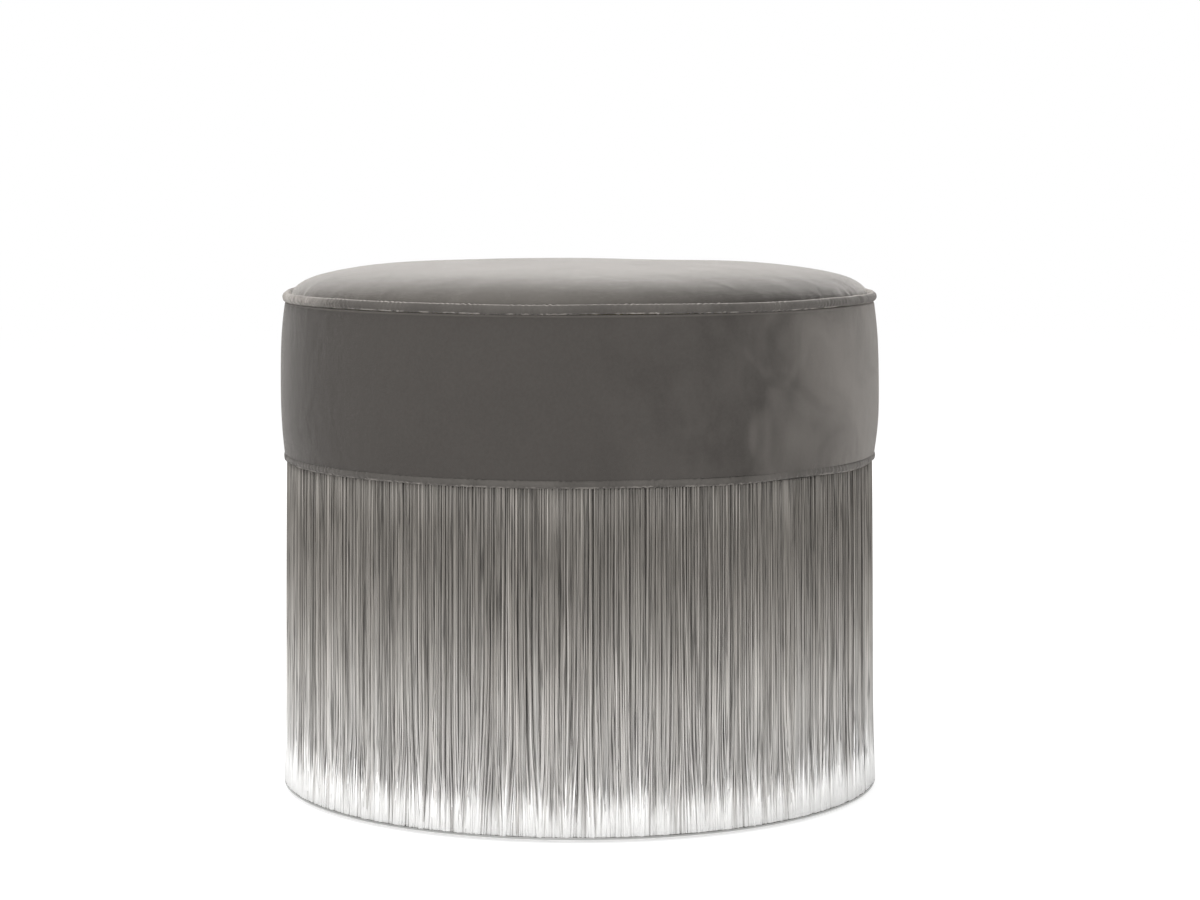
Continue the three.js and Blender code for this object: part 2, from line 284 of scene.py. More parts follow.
def drill(piece: bpy.types.Object, cutters: Sequence[bpy.types.Object]) -> bpy.types.Object:
    """Cuts the cutters out of a piece, marks its sharp edges, and takes the cutters away.

    Args:
        piece: the closed piece that is cut.
        cutters: closed shapes.

    Returns:
        The same piece, cut.
    """
    for cutter in cutters:
        modifier = piece.modifiers.new("drill", "BOOLEAN")
        modifier.operation, modifier.solver, modifier.object = "DIFFERENCE", "EXACT", cutter
    graph = bpy.context.evaluated_depsgraph_get()
    cut = bpy.data.meshes.new_from_object(piece.evaluated_get(graph), preserve_all_data_layers=True, depsgraph=graph)
    piece.modifiers.clear()
    whole, piece.data = piece.data, cut
    bpy.data.meshes.remove(whole)
    for cutter in cutters:
        bpy.data.meshes.remove(cutter.data)
    cut.set_sharp_from_angle(angle=SHARP_ANGLE)
    return piece


def settle(piece: bpy.types.Object, slot: str, finish: "Finish", *nodes: str) -> bpy.types.Object:
    """Dresses a finished piece and fixes it to the tuffet.

    Args:
        piece: the finished piece.
        slot: not used.
        finish: the piece's finish.
        nodes: the CAD nodes that it stands for.

    Returns:
        The same piece.
    """
    piece.data.materials.append(finish.material)
    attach(piece, ROOT)
    if nodes:
        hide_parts(*nodes)
    log.info("%s: %d faces, for %s", piece.name, len(piece.data.polygons), ", ".join(nodes) or "no node")
    return piece


# Finishes


class Shader:
    """A node material around one Principled shader, with short calls for the nodes that feed it."""

    def __init__(self, name: str, constants: Mapping[str, float | Colour]) -> None:
        """Starts the material.

        Args:
            name: the material's name.
            constants: values set on the Principled shader's own sockets.
        """
        self.material = bpy.data.materials.new(name)
        self.material.use_nodes = True
        self.tree = self.material.node_tree
        self.principled = self.tree.nodes["Principled BSDF"]
        for socket, value in constants.items():
            self.feed(self.principled.inputs[socket], value)
        self.place = self.tree.nodes.new("ShaderNodeTexCoord").outputs["Object"]

    def feed(self, socket: Socket, value: Socket | float | Sequence[float]) -> None:
        """Links a socket to a node's output, or sets its value.

        Args:
            socket: the socket that is fed.
            value: an output socket, a number, a vector or a colour.
        """
        if isinstance(value, bpy.types.NodeSocket):
            self.tree.links.new(value, socket)
        elif socket.type == "RGBA":
            socket.default_value = (*value[:3], 1.0)
        else:
            socket.default_value = value

    def node(self, kind: str, inputs: Mapping[str, object], output: str | int = 0, **settings: object) -> Socket:
        """Adds a node.

        Args:
            kind: the node's type without its ShaderNode prefix.
            inputs: what each of its inputs gets.
            output: the output that is wanted.
            settings: the node's own settings.

        Returns:
            That output.
        """
        node = self.tree.nodes.new(f"ShaderNode{kind}")
        for setting, value in settings.items():
            setattr(node, setting, value)
        for socket, value in inputs.items():
            self.feed(node.inputs[socket], value)
        return node.outputs[output]

    def stretched(self, scale: Sequence[float], place: Socket | None = None) -> Socket:
        """The place with each axis multiplied by scale."""
        return self.node("Mapping", {"Vector": place or self.place, "Scale": scale})

    def noise(self, scale: float, detail: float = 3.0, place: Socket | None = None, distortion: float = 0.0) -> Socket:
        """Noise with that many features for each unit of the place."""
        inputs = {"Vector": place or self.place, "Scale": scale, "Detail": detail, "Distortion": distortion}
        return self.node("TexNoise", inputs, "Fac")

    def spread(self, value: Socket, low: float, high: float, to: tuple[float, float] = (0.0, 1.0)) -> Socket:
        """The value taken from low..high to the range to, and kept inside it."""
        inputs = {"Value": value, "From Min": low, "From Max": high, "To Min": to[0], "To Max": to[1]}
        return self.node("MapRange", inputs)

    def maths(self, operation: str, first: Socket | float, second: Socket | float = 0.0) -> Socket:
        """The result of a sum such as MULTIPLY or SINE."""
        return self.node("Math", {0: first, 1: second}, operation=operation)

    def mix(self, share: Socket | float, first: object, second: object, blend: str = "MIX") -> Socket:
        """A colour between first and second."""
        inputs = {0: share, 6: first, 7: second}
        return self.node("Mix", inputs, 2, data_type="RGBA", blend_type=blend)

    def ramp(self, value: Socket, stops: Sequence[tuple[float, Colour]]) -> Socket:
        """A colour ramp through the given stops of position and colour."""
        output = self.node("ValToRGB", {"Fac": value}, "Color")
        points = output.node.color_ramp.elements
        while len(points) < len(stops):
            points.new(1.0)
        for point, (position, colour) in zip(points, stops):
            point.position = position
            point.color = (*colour, 1.0)
        return output

    def bump(self, height: Socket, depth: float, under: Socket | None = None) -> Socket:
        """A bumped normal, on top of another where one is given."""
        inputs: dict[str, object] = {"Height": height, "Distance": depth, "Strength": 1.0}
        if under is not None:
            inputs["Normal"] = under
        return self.node("Bump", inputs, "Normal")

    def finish(self, colour: Socket, normal: Socket, roughness: Socket | None = None) -> bpy.types.Material:
        """Feeds the Principled shader and returns the material."""
        self.feed(self.principled.inputs["Base Color"], colour)
        self.feed(self.principled.inputs["Normal"], normal)
        if roughness is not None:
            self.feed(self.principled.inputs["Roughness"], roughness)
        return self.material


class Finish:
    """A finish that makes its material once, when it is first asked for."""

    name: str

    def build(self) -> bpy.types.Material:
        """Makes the material."""
        raise NotImplementedError

    @property
    def material(self) -> bpy.types.Material:
        """The material, made on first use. No finish has the name of a material of the frame."""
        return bpy.data.materials.get(self.name) or self.build()


@dataclass(frozen=True)
class Velvet(Finish):
    """Short brushed pile, with soft patches where the nap lies differently, most of them on the right.

    At the far right a colour is painted in, painted light on the band and welts and painted shade on the
    crown, but not above the level painted_side_below. At the far left the colour is darker: painted shade.
    """

    name: str = "velvet"
    dark: Colour = (0.044, 0.0398, 0.0364)
    light: Colour = (0.083, 0.0762, 0.07)
    # Colour painted at the far right: painted light on the band and welts, painted shade on the crown.
    brush_marks_and_painted_side_shading: Colour = (0.2, 0.185, 0.17)
    sheen: Colour = (1.0, 0.96, 0.925)
    sheen_weight: float = 0.34
    sheen_roughness: float = 0.28
    patch_scale: float = 17.0
    smudge_scale: float = 46.0
    fleck_scale: float = 420.0
    pile_scale: float = 1900.0
    pile_depth: float = 0.0004
    calm: float = 0.12
    # X span over which the far left is darkened: painted shade.
    painted_left_shade: tuple[float, float] = (-0.222, -0.165)
    ruffled_from: float = 0.0
    ruffled_to: float = 0.11
    # Where the painted side colour starts and ends in X, and the levels below which it is painted.
    painted_side_from: float = 0.125
    painted_side_to: float = 0.218
    painted_side_below: tuple[float, float] = (0.4045, 0.394)

    def painted_light_share(self, shader: Shader) -> Socket | float:
        """How much painted light is mixed in, from 0 to 1: none on plain velvet."""
        return 0.0

    def build(self) -> bpy.types.Material:
        """Patches, smudges and flecks of nap give the colour, with painted light and shade at the ends, and the pile
        gives a fine bump.
        """
        shader = Shader(
            self.name,
            {
                "Roughness": 0.85,
                "Specular IOR Level": 0.15,
                "Sheen Weight": self.sheen_weight,
                "Sheen Roughness": self.sheen_roughness,
                "Sheen Tint": self.sheen,
            },
        )
        patches = shader.noise(self.patch_scale, 2.5, distortion=1.1)
        smudges = shader.noise(self.smudge_scale, 3.0, shader.stretched((1.0, 1.0, 0.6)), distortion=0.7)
        flecks = shader.noise(self.fleck_scale, 2.0)
        pile = shader.noise(self.pile_scale, 2.0)
        right = shader.node("SeparateXYZ", {"Vector": shader.place}, "X")
        level = shader.node("SeparateXYZ", {"Vector": shader.place}, "Z")
        ruffle = shader.spread(right, self.ruffled_from, self.ruffled_to, (self.calm, 1.0))
        lie = shader.maths(
            "ADD", shader.spread(patches, 0.34, 0.66, (-0.12, 0.36)), shader.spread(smudges, 0.34, 0.66, (-0.13, 0.18))
        )
        # Painted shade at the far left end.
        flat = shader.spread(right, *self.painted_left_shade, (-0.5, 0.0))
        nap = shader.maths("ADD", shader.maths("ADD", shader.maths("MULTIPLY", lie, ruffle), 0.42), flat)
        nap = shader.maths("ADD", nap, shader.spread(flecks, 0.3, 0.7, (-0.07, 0.07)))
        ground = shader.mix(shader.spread(nap, 0.0, 1.0), self.dark, self.light)
        # The painted side colour at the far right: painted light on the band and welts, painted shade on the crown.
        stroke = shader.maths("ADD", right, shader.spread(patches, 0.3, 0.7, (-0.022, 0.022)))
        far_right = shader.spread(stroke, self.painted_side_from, self.painted_side_to)
        brush_marks_and_painted_side_shading = shader.maths("MULTIPLY", far_right, shader.spread(level, *self.painted_side_below))
        ground = shader.mix(brush_marks_and_painted_side_shading, ground, self.brush_marks_and_painted_side_shading)
        tipped = shader.mix(shader.spread(pile, 0.3, 0.7, (0.0, 0.22)), ground, self.light)
        # A pale colour, mixed in as painted light and painted highlights where the share above asks.
        painted_highlight = tuple(min(1.0, 3.2 * value) for value in self.light)
        colour = shader.mix(self.painted_light_share(shader), tipped, painted_highlight)
        soft = shader.bump(smudges, 0.0007)
        return shader.finish(colour, shader.bump(pile, self.pile_depth, soft))


@dataclass(frozen=True)
class BandVelvet(Velvet):
    """The band's velvet, with painted light where the cloth rolls in under the upper welt, against the shade there."""

    name: str = "band_velvet"
    # Levels of the roll, and the share of painted light mixed in there.
    roll: tuple[float, float] = (0.3748, 0.3762)
    roll_painted_light: float = 0.36

    def painted_light_share(self, shader: Shader) -> Socket | float:
        """Painted light above the level where the roll starts."""
        level = shader.node("SeparateXYZ", {"Vector": shader.place}, "Z")
        return shader.spread(level, *self.roll, (0.0, self.roll_painted_light))


@dataclass(frozen=True)
class WeltVelvet(Velvet):
    """Velvet on a tight fold, with painted highlights along the two edges that show and at the far left end."""

    name: str = "welt_velvet"
    dark: Colour = (0.056, 0.0516, 0.0473)
    light: Colour = (0.112, 0.1035, 0.095)
    brush_marks_and_painted_side_shading: Colour = (0.12, 0.112, 0.103)
    calm: float = 0.8
    front: float = 0.0098
    # Painted highlights: spans along the fold for the upper and lower edge, the X span of the far left end, and their
    # shares.
    upper_edge: tuple[float, float] = (0.0037, 0.0047)
    lower_edge: tuple[float, float] = (0.0024, 0.0036)
    left_painted_highlight: tuple[float, float] = (0.17, 0.222)
    left_highlight_share: float = 1.0
    lower_highlight_share: float = 1.0
    broken_scale: float = 95.0

    def painted_light_share(self, shader: Shader) -> Socket | float:
        """Painted highlights along both edges of the fold, broken up by noise, and all over at the far left."""
        along = shader.node("SeparateXYZ", {"Vector": shader.node("UVMap", {}, uv_map="cloth")}, "Y")
        above = shader.spread(shader.maths("SUBTRACT", along, self.front), *self.upper_edge)
        below = shader.spread(shader.maths("SUBTRACT", self.front, along), *self.lower_edge)
        broken = shader.noise(self.broken_scale, 3.0, distortion=1.5)
        crisp = shader.maths("MULTIPLY", above, shader.spread(broken, 0.3, 0.55, (0.25, 0.9)))
        ragged = shader.maths("MULTIPLY", below, shader.spread(broken, 0.46, 0.6, (0.0, self.lower_highlight_share)))
        edges = shader.maths("MAXIMUM", crisp, ragged)
        left = shader.maths("MULTIPLY", shader.node("SeparateXYZ", {"Vector": shader.place}, "X"), -1.0)
        far_left = shader.spread(left, *self.left_painted_highlight, (0.0, self.left_highlight_share))
        end = shader.maths("MULTIPLY", far_left, shader.spread(broken, 0.35, 0.6, (0.4, 1.0)))
        return shader.maths("MAXIMUM", edges, end)


@dataclass(frozen=True)
class Yarn(Finish):
    """Fine silky thread, dip-dyed: taupe at the top, off-white at the hem."""

    hem: float
    top: float
    name: str = "ombre_yarn"
    stops: tuple[tuple[float, Colour], ...] = (
        (0.0, (0.93, 0.927, 0.918)),
        (0.05, (0.85, 0.845, 0.834)),
        (0.11, (0.56, 0.549, 0.534)),
        (0.17, (0.53, 0.516, 0.498)),
        (0.22, (0.51, 0.496, 0.477)),
        (0.34, (0.48, 0.463, 0.44)),
        (0.5, (0.345, 0.328, 0.306)),
        (0.66, (0.245, 0.23, 0.211)),
        (0.86, (0.187, 0.174, 0.157)),
        # The stop at the very top is lighter again: painted light against the shade under the welt.
        (1.0, (0.28, 0.263, 0.242)),
    )
    shades: tuple[float, float] = (0.64, 1.34)
    streaks: Sequence[float] = (820.0, 820.0, 19.0)
    # How dark the dark streaks get: painted shade of the gaps between threads.
    streak_painted_shade: float = 0.48
    pale_streak: float = 1.24
    dye_shift: float = 0.025
    # Painted light at the far left and right: X span, how far the pale part moves up each side, and the levels it
    # fades over.
    rim_light_start: float = 0.14
    rim_light_end: float = 0.215
    left_rim_light: float = 0.009
    right_rim_light: float = 0.014
    rim_light_below: tuple[float, float] = (0.06, 0.15)
    twist_length: float = 0.0022
    twist_depth: float = 0.00002

    def build(self) -> bpy.types.Material:
        """The level gives the dye, each thread has its own shade, and a fine twist gives the bump.

        At the far left and right the pale part of the dye starts a little higher: painted light. Long upright
        streaks of noise, a few centimetres each, darken and lighten the threads on the way: uneven tone, with
        painted shade of the gaps between threads in the dark streaks.
        """
        shader = Shader(
            self.name,
            {"Roughness": 0.6, "Specular IOR Level": 0.15, "Sheen Weight": 0.04, "Sheen Roughness": 0.4},
        )
        level = shader.node("SeparateXYZ", {"Vector": shader.place}, "Z")
        tone = shader.node("UVMap", {}, uv_map="tone")
        own_shade = shader.node("SeparateXYZ", {"Vector": tone}, "X")
        own_dye = shader.node("SeparateXYZ", {"Vector": tone}, "Y")
        right = shader.node("SeparateXYZ", {"Vector": shader.place}, "X")
        left = shader.maths("MULTIPLY", right, -1.0)
        # Painted light at the far left and right: the ramp moves so the pale part starts higher, low down only.
        right_rim_light = shader.spread(right, self.rim_light_start, self.rim_light_end, (0.0, -self.right_rim_light))
        left_rim_light = shader.spread(left, self.rim_light_start, self.rim_light_end, (0.0, -self.left_rim_light))
        low_down = shader.spread(level, self.rim_light_below[1], self.rim_light_below[0])
        lift = shader.maths("MULTIPLY", shader.maths("ADD", left_rim_light, right_rim_light), low_down)
        lifted = shader.maths("ADD", level, lift)
        dipped = shader.maths("ADD", lifted, shader.spread(own_dye, 0, 1, (-self.dye_shift, self.dye_shift)))
        dye = shader.ramp(shader.spread(dipped, self.hem, self.top), self.stops)
        # Upright streaks: uneven tone, and in the dark ones painted shade of the gaps between threads.
        streaks = shader.noise(1.0, 3.0, shader.stretched(self.streaks))
        deep = shader.spread(streaks, 0.36, 0.45, (self.streak_painted_shade, 1.0))
        pale = shader.spread(streaks, 0.45, 0.68, (1.0, self.pale_streak))
        full = shader.maths("MULTIPLY", shader.spread(own_shade, 0, 1, self.shades), shader.maths("MULTIPLY", deep, pale))
        near_hem = shader.spread(level, self.hem + 0.005, self.hem + 0.032)
        shade = shader.maths("ADD", shader.maths("MULTIPLY", shader.maths("SUBTRACT", full, 1.0), near_hem), 1.0)
        grey = shader.node("CombineColor", {0: shade, 1: shade, 2: shade})
        colour = shader.mix(1.0, dye, grey, "MULTIPLY")
        thread = shader.node("UVMap", {}, uv_map="thread")
        around = shader.node("SeparateXYZ", {"Vector": thread}, "X")
        along = shader.node("SeparateXYZ", {"Vector": thread}, "Y")
        turns = shader.maths("ADD", around, shader.maths("MULTIPLY", along, 1 / self.twist_length))
        twist = shader.maths("SINE", shader.maths("MULTIPLY", turns, TURN))
        return shader.finish(colour, shader.bump(twist, self.twist_depth))


@dataclass(frozen=True)
class Cloth(Finish):
    """A plain woven cloth, by the piece's own UV map in metres."""

    name: str
    colour: Colour
    thread: float

    def build(self) -> bpy.types.Material:
        """Two crossed waves give the weave."""
        shader = Shader(self.name, {"Roughness": 0.9, "Specular IOR Level": 0.2, "Sheen Weight": 0.2})
        cloth = shader.node("UVMap", {}, uv_map="cloth")
        across = shader.node("SeparateXYZ", {"Vector": cloth}, "X")
        along = shader.node("SeparateXYZ", {"Vector": cloth}, "Y")
        warp = shader.maths("SINE", shader.maths("MULTIPLY", across, TURN / (2 * self.thread)))
        weft = shader.maths("SINE", shader.maths("MULTIPLY", along, TURN / (2 * self.thread)))
        weave = shader.maths("MULTIPLY", warp, weft)
        fibre = shader.noise(900.0, 3.0)
        lighter = tuple(min(1.0, value * 1.35) for value in self.colour)
        shade = shader.mix(shader.spread(weave, -1, 1), self.colour, lighter)
        colour = shader.mix(shader.spread(fibre, 0.3, 0.7, (0.0, 0.4)), shade, self.colour)
        return shader.finish(colour, shader.bump(weave, 0.0001))


@dataclass(frozen=True)
class Fibre(Finish):
    """A mass of fibre or open cells: felt, wadding, foam, non-woven cloth or cotton cord."""

    name: str
    colour: Colour
    grain: float
    depth: float
    cells: bool = False

    def build(self) -> bpy.types.Material:
        """Noise, or open cells, give both colour and bump."""
        shader = Shader(self.name, {"Roughness": 0.95, "Specular IOR Level": 0.1, "Sheen Weight": 0.3})
        if self.cells:
            height = shader.node("TexVoronoi", {"Vector": shader.place, "Scale": self.grain}, "Distance")
        else:
            height = shader.noise(self.grain, 4.0, distortion=0.5)
        darker = tuple(value * 0.72 for value in self.colour)
        colour = shader.mix(shader.spread(height, 0.25, 0.7), darker, self.colour)
        return shader.finish(colour, shader.bump(height, self.depth))


@dataclass(frozen=True)
class Wood(Finish):
    """Sawn or laminated wood, with its grain along one direction and, on plywood, ply edges."""

    name: str
    early: Colour
    late: Colour
    grain: Grain
    ply: float = 0.0

    def build(self) -> bpy.types.Material:
        """Stretched noise gives the grain, and a wave through the thickness gives the ply edges."""
        shader = Shader(self.name, {"Roughness": 0.6, "Specular IOR Level": 0.3})
        stretched = shader.stretched(self.grain.value)
        figure = shader.noise(1.6, 5.0, stretched, distortion=1.2)
        pores = shader.noise(9.0, 2.0, stretched)
        colour = shader.mix(shader.spread(figure, 0.35, 0.65), self.early, self.late)
        height = pores
        if self.ply:
            level = shader.node("SeparateXYZ", {"Vector": shader.place}, "Z")
            layer = shader.maths("SINE", shader.maths("MULTIPLY", level, TURN / (2 * self.ply)))
            facing = shader.node("SeparateXYZ", {"Vector": shader.node("NewGeometry", {}, "Normal")}, "Z")
            edge = shader.spread(shader.maths("ABSOLUTE", facing), 0.6, 0.3)
            dark_ply = shader.maths("MULTIPLY", edge, shader.spread(layer, -0.2, 0.2, (0.0, 0.65)))
            colour = shader.mix(dark_ply, colour, tuple(value * 0.55 for value in self.late))
        return shader.finish(colour, shader.bump(height, 0.0002))


@dataclass(frozen=True)
class Metal(Finish):
    """Satin or plated steel, with fine brushing and small changes in its gloss.

    Where the level passes upwards through the painted shade band, the steel goes from bright to dull: painted shade.
    """

    name: str
    colour: Colour
    gloss: tuple[float, float]
    brushing: Sequence[float] = (40.0, 900.0, 900.0)
    painted_shade_colour: Colour = (0.36, 0.36, 0.352)
    painted_shade_band: tuple[float, float] = (9.0, 10.0)

    def build(self) -> bpy.types.Material:
        """Stretched noise gives the brushing, and broad noise changes the roughness."""
        shader = Shader(self.name, {"Metallic": 1.0})
        brush_marks_and_painted_side_shading = shader.noise(1.0, 3.0, shader.stretched(self.brushing))
        smears = shader.noise(18.0, 3.0)
        darker = tuple(value * 0.86 for value in self.colour)
        colour = shader.mix(shader.spread(brush_marks_and_painted_side_shading, 0.35, 0.65), darker, self.colour)
        level = shader.node("SeparateXYZ", {"Vector": shader.place}, "Z")
        # Painted shade above a level: on the plate, the shade under the ends of the fringe.
        colour = shader.mix(shader.spread(level, *self.painted_shade_band), colour, self.painted_shade_colour)
        roughness = shader.spread(smears, 0.3, 0.7, self.gloss)
        return shader.finish(colour, shader.bump(brush_marks_and_painted_side_shading, 0.00003), roughness)


BAND_VELVET = BandVelvet()
# The crown's copy of the velvet is much lighter than the band's: painted light for the light on the top. Its dark far
# right colour is painted shade.
CROWN_VELVET = Velvet(
    name="crown_velvet",
    dark=(0.076, 0.07, 0.0632),
    light=(0.142, 0.1313, 0.12),
    brush_marks_and_painted_side_shading=(0.032, 0.0293, 0.0267),
    sheen_weight=0.93,
    sheen_roughness=0.3,
    patch_scale=12.0,
    calm=0.6,
    painted_side_from=0.0,
    painted_side_to=0.165,
)
WELT_VELVET = WeltVelvet()
# The lower welt's copy is a little lighter than the upper one's: painted light from below. Its lower edge's painted
# highlight is narrower and fainter, and its left end has none.
LOWER_WELT_VELVET = WeltVelvet(
    name="lower_welt_velvet",
    dark=(0.06, 0.0553, 0.0507),
    light=(0.116, 0.1072, 0.0984),
    lower_edge=(0.0018, 0.0032),
    lower_highlight_share=0.45,
    left_highlight_share=0.0,
)
FOAM = Fibre("seat_foam", (0.78, 0.7, 0.42), 700.0, 0.0004, cells=True)
WADDING = Fibre("polyester_wadding", (0.86, 0.85, 0.82), 260.0, 0.0008)
FELT = Fibre("pad_felt", (0.05, 0.046, 0.042), 1500.0, 0.0003)
COTTON = Fibre("cotton_cord", (0.68, 0.62, 0.52), 900.0, 0.0003)
DUST_CLOTH = Fibre("black_nonwoven", (0.03, 0.029, 0.028), 1200.0, 0.0001)
LINING = Cloth("skirt_lining", (0.2, 0.19, 0.178), 0.0006)
PLYWOOD = Wood("birch_plywood", (0.62, 0.46, 0.27), (0.5, 0.34, 0.18), Grain.ALONG_BOARD, ply=0.0014)
PINE = Wood("sawn_pine", (0.7, 0.53, 0.31), (0.52, 0.33, 0.15), Grain.ALONG_POST)
# The plate's top edge is darkened as painted shade, where the fringe's ends hang over it.
STEEL = Metal("brushed_steel", (0.8, 0.8, 0.79), (0.28, 0.44), painted_shade_band=(0.0025, 0.0029))
ZINC = Metal("zinc_plating", (0.56, 0.57, 0.6), (0.25, 0.4), (300.0, 300.0, 300.0))


# The seat


def spline_weights(places: Floats, count: int, closed: bool = False) -> Floats:
    """Weights that read a smooth curve off evenly spaced values, by the cubic B-spline of the distance d.

    The weight is 2/3 - d^2 + d^3 / 2 where d < 1, and (2 - d)^3 / 6 where d is from 1 to 2.

    Args:
        places: where the curve is read, in steps between values.
        count: how many values there are.
        closed: True where the last value is next to the first.

    Returns:
        Weights, places by values.
    """
    away = np.abs(places[:, None] - np.arange(count))
    if closed:
        away = np.minimum(away, count - away)
    near, far = 2 / 3 - away**2 + away**3 / 2, (2 - away) ** 3 / 6
    weights = np.where(away < 1, near, np.where(away < 2, far, 0.0))
    return weights / weights.sum(axis=1, keepdims=True)


@dataclass(frozen=True)
class SewnCloth:
    """A short cloth simulation: velvet cut a little large, sewn down at its edge and pushed up from below.

    Only the gathers that form along the seam are kept, because the crown's size is known.
    """

    rings: int = 46
    columns: int = 180
    frames: int = 18
    enlarged: float = 10.0
    pressure: float = 0.2
    spare: float = 0.02
    stiffness: float = 15.0
    shear: float = 5.0
    bending: float = 0.5
    weight: float = 0.3
    quality: int = 6
    jitter: float = 0.00003
    deepest: float = 0.00028
    seed: int = 5

    def simulate(self, start: Floats) -> Floats:
        """Runs Blender's cloth solver without gravity, with the first ring pinned.

        Args:
            start: the cloth's points, rings by columns by 3.

        Returns:
            Where the points end, in the same order.
        """
        ring, column = (
            grid.ravel() for grid in np.meshgrid(range(self.rings - 1), range(self.columns), indexing="ij")
        )
        first, following = ring * self.columns, (column + 1) % self.columns
        around = [first + column, first + following, first + self.columns + following, first + self.columns + column]
        piece = make_object("cloth_trial", start * self.enlarged, np.stack(around, axis=-1).tolist(), {})
        piece.vertex_groups.new(name="seam").add(range(self.columns), 1.0, "REPLACE")
        cloth = piece.modifiers.new("cloth", "CLOTH")
        cloth.collision_settings.use_collision = False
        cloth.point_cache.frame_end = self.frames
        settings = cloth.settings
        settings.vertex_group_mass = "seam"
        settings.quality = self.quality
        settings.mass = self.weight
        settings.tension_stiffness = settings.compression_stiffness = self.stiffness
        settings.shear_stiffness = self.shear
        settings.bending_stiffness = self.bending
        settings.use_pressure = True
        settings.uniform_pressure_force = self.pressure
        settings.shrink_min = -self.spare
        settings.effector_weights.gravity = 0.0
        for moment in range(1, self.frames + 1):
            bpy.context.scene.frame_set(moment)
        ended = piece.evaluated_get(bpy.context.evaluated_depsgraph_get())
        points = np.zeros(start.size)
        ended.data.vertices.foreach_get("co", points)
        bpy.context.scene.frame_set(1)
        bpy.data.meshes.remove(piece.data)
        return points.reshape(start.shape) / self.enlarged

    def gathers(self, radii: Floats, levels: Floats) -> Floats:
        """The simulated moves less the mean move of each ring, so that only the unevenness is left.

        Args:
            radii: the section's radii, one for each ring from the seam in.
            levels: its levels.

        Returns: Outward and upward moves, 2 by rings by columns.
        """
        angle = np.arange(self.columns) * TURN / self.columns
        flat = [np.outer(radii, np.cos(angle)), np.outer(radii, np.sin(angle)), np.outer(levels, np.ones_like(angle))]
        start = np.stack(flat, axis=-1)
        start = start + np.random.default_rng(self.seed).normal(0, self.jitter, start.shape)
        moved = self.simulate(start) - start
        outward = moved[..., 0] * np.cos(angle) + moved[..., 1] * np.sin(angle)
        moves = np.stack([outward, moved[..., 2]])
        uneven = moves - moves.mean(axis=2, keepdims=True)
        log.info("cloth: gathers of up to %.1f mm, kept at %.1f mm", 1000 * np.abs(uneven).max(), 1000 * self.deepest)
        return uneven * self.deepest / np.abs(uneven).max()


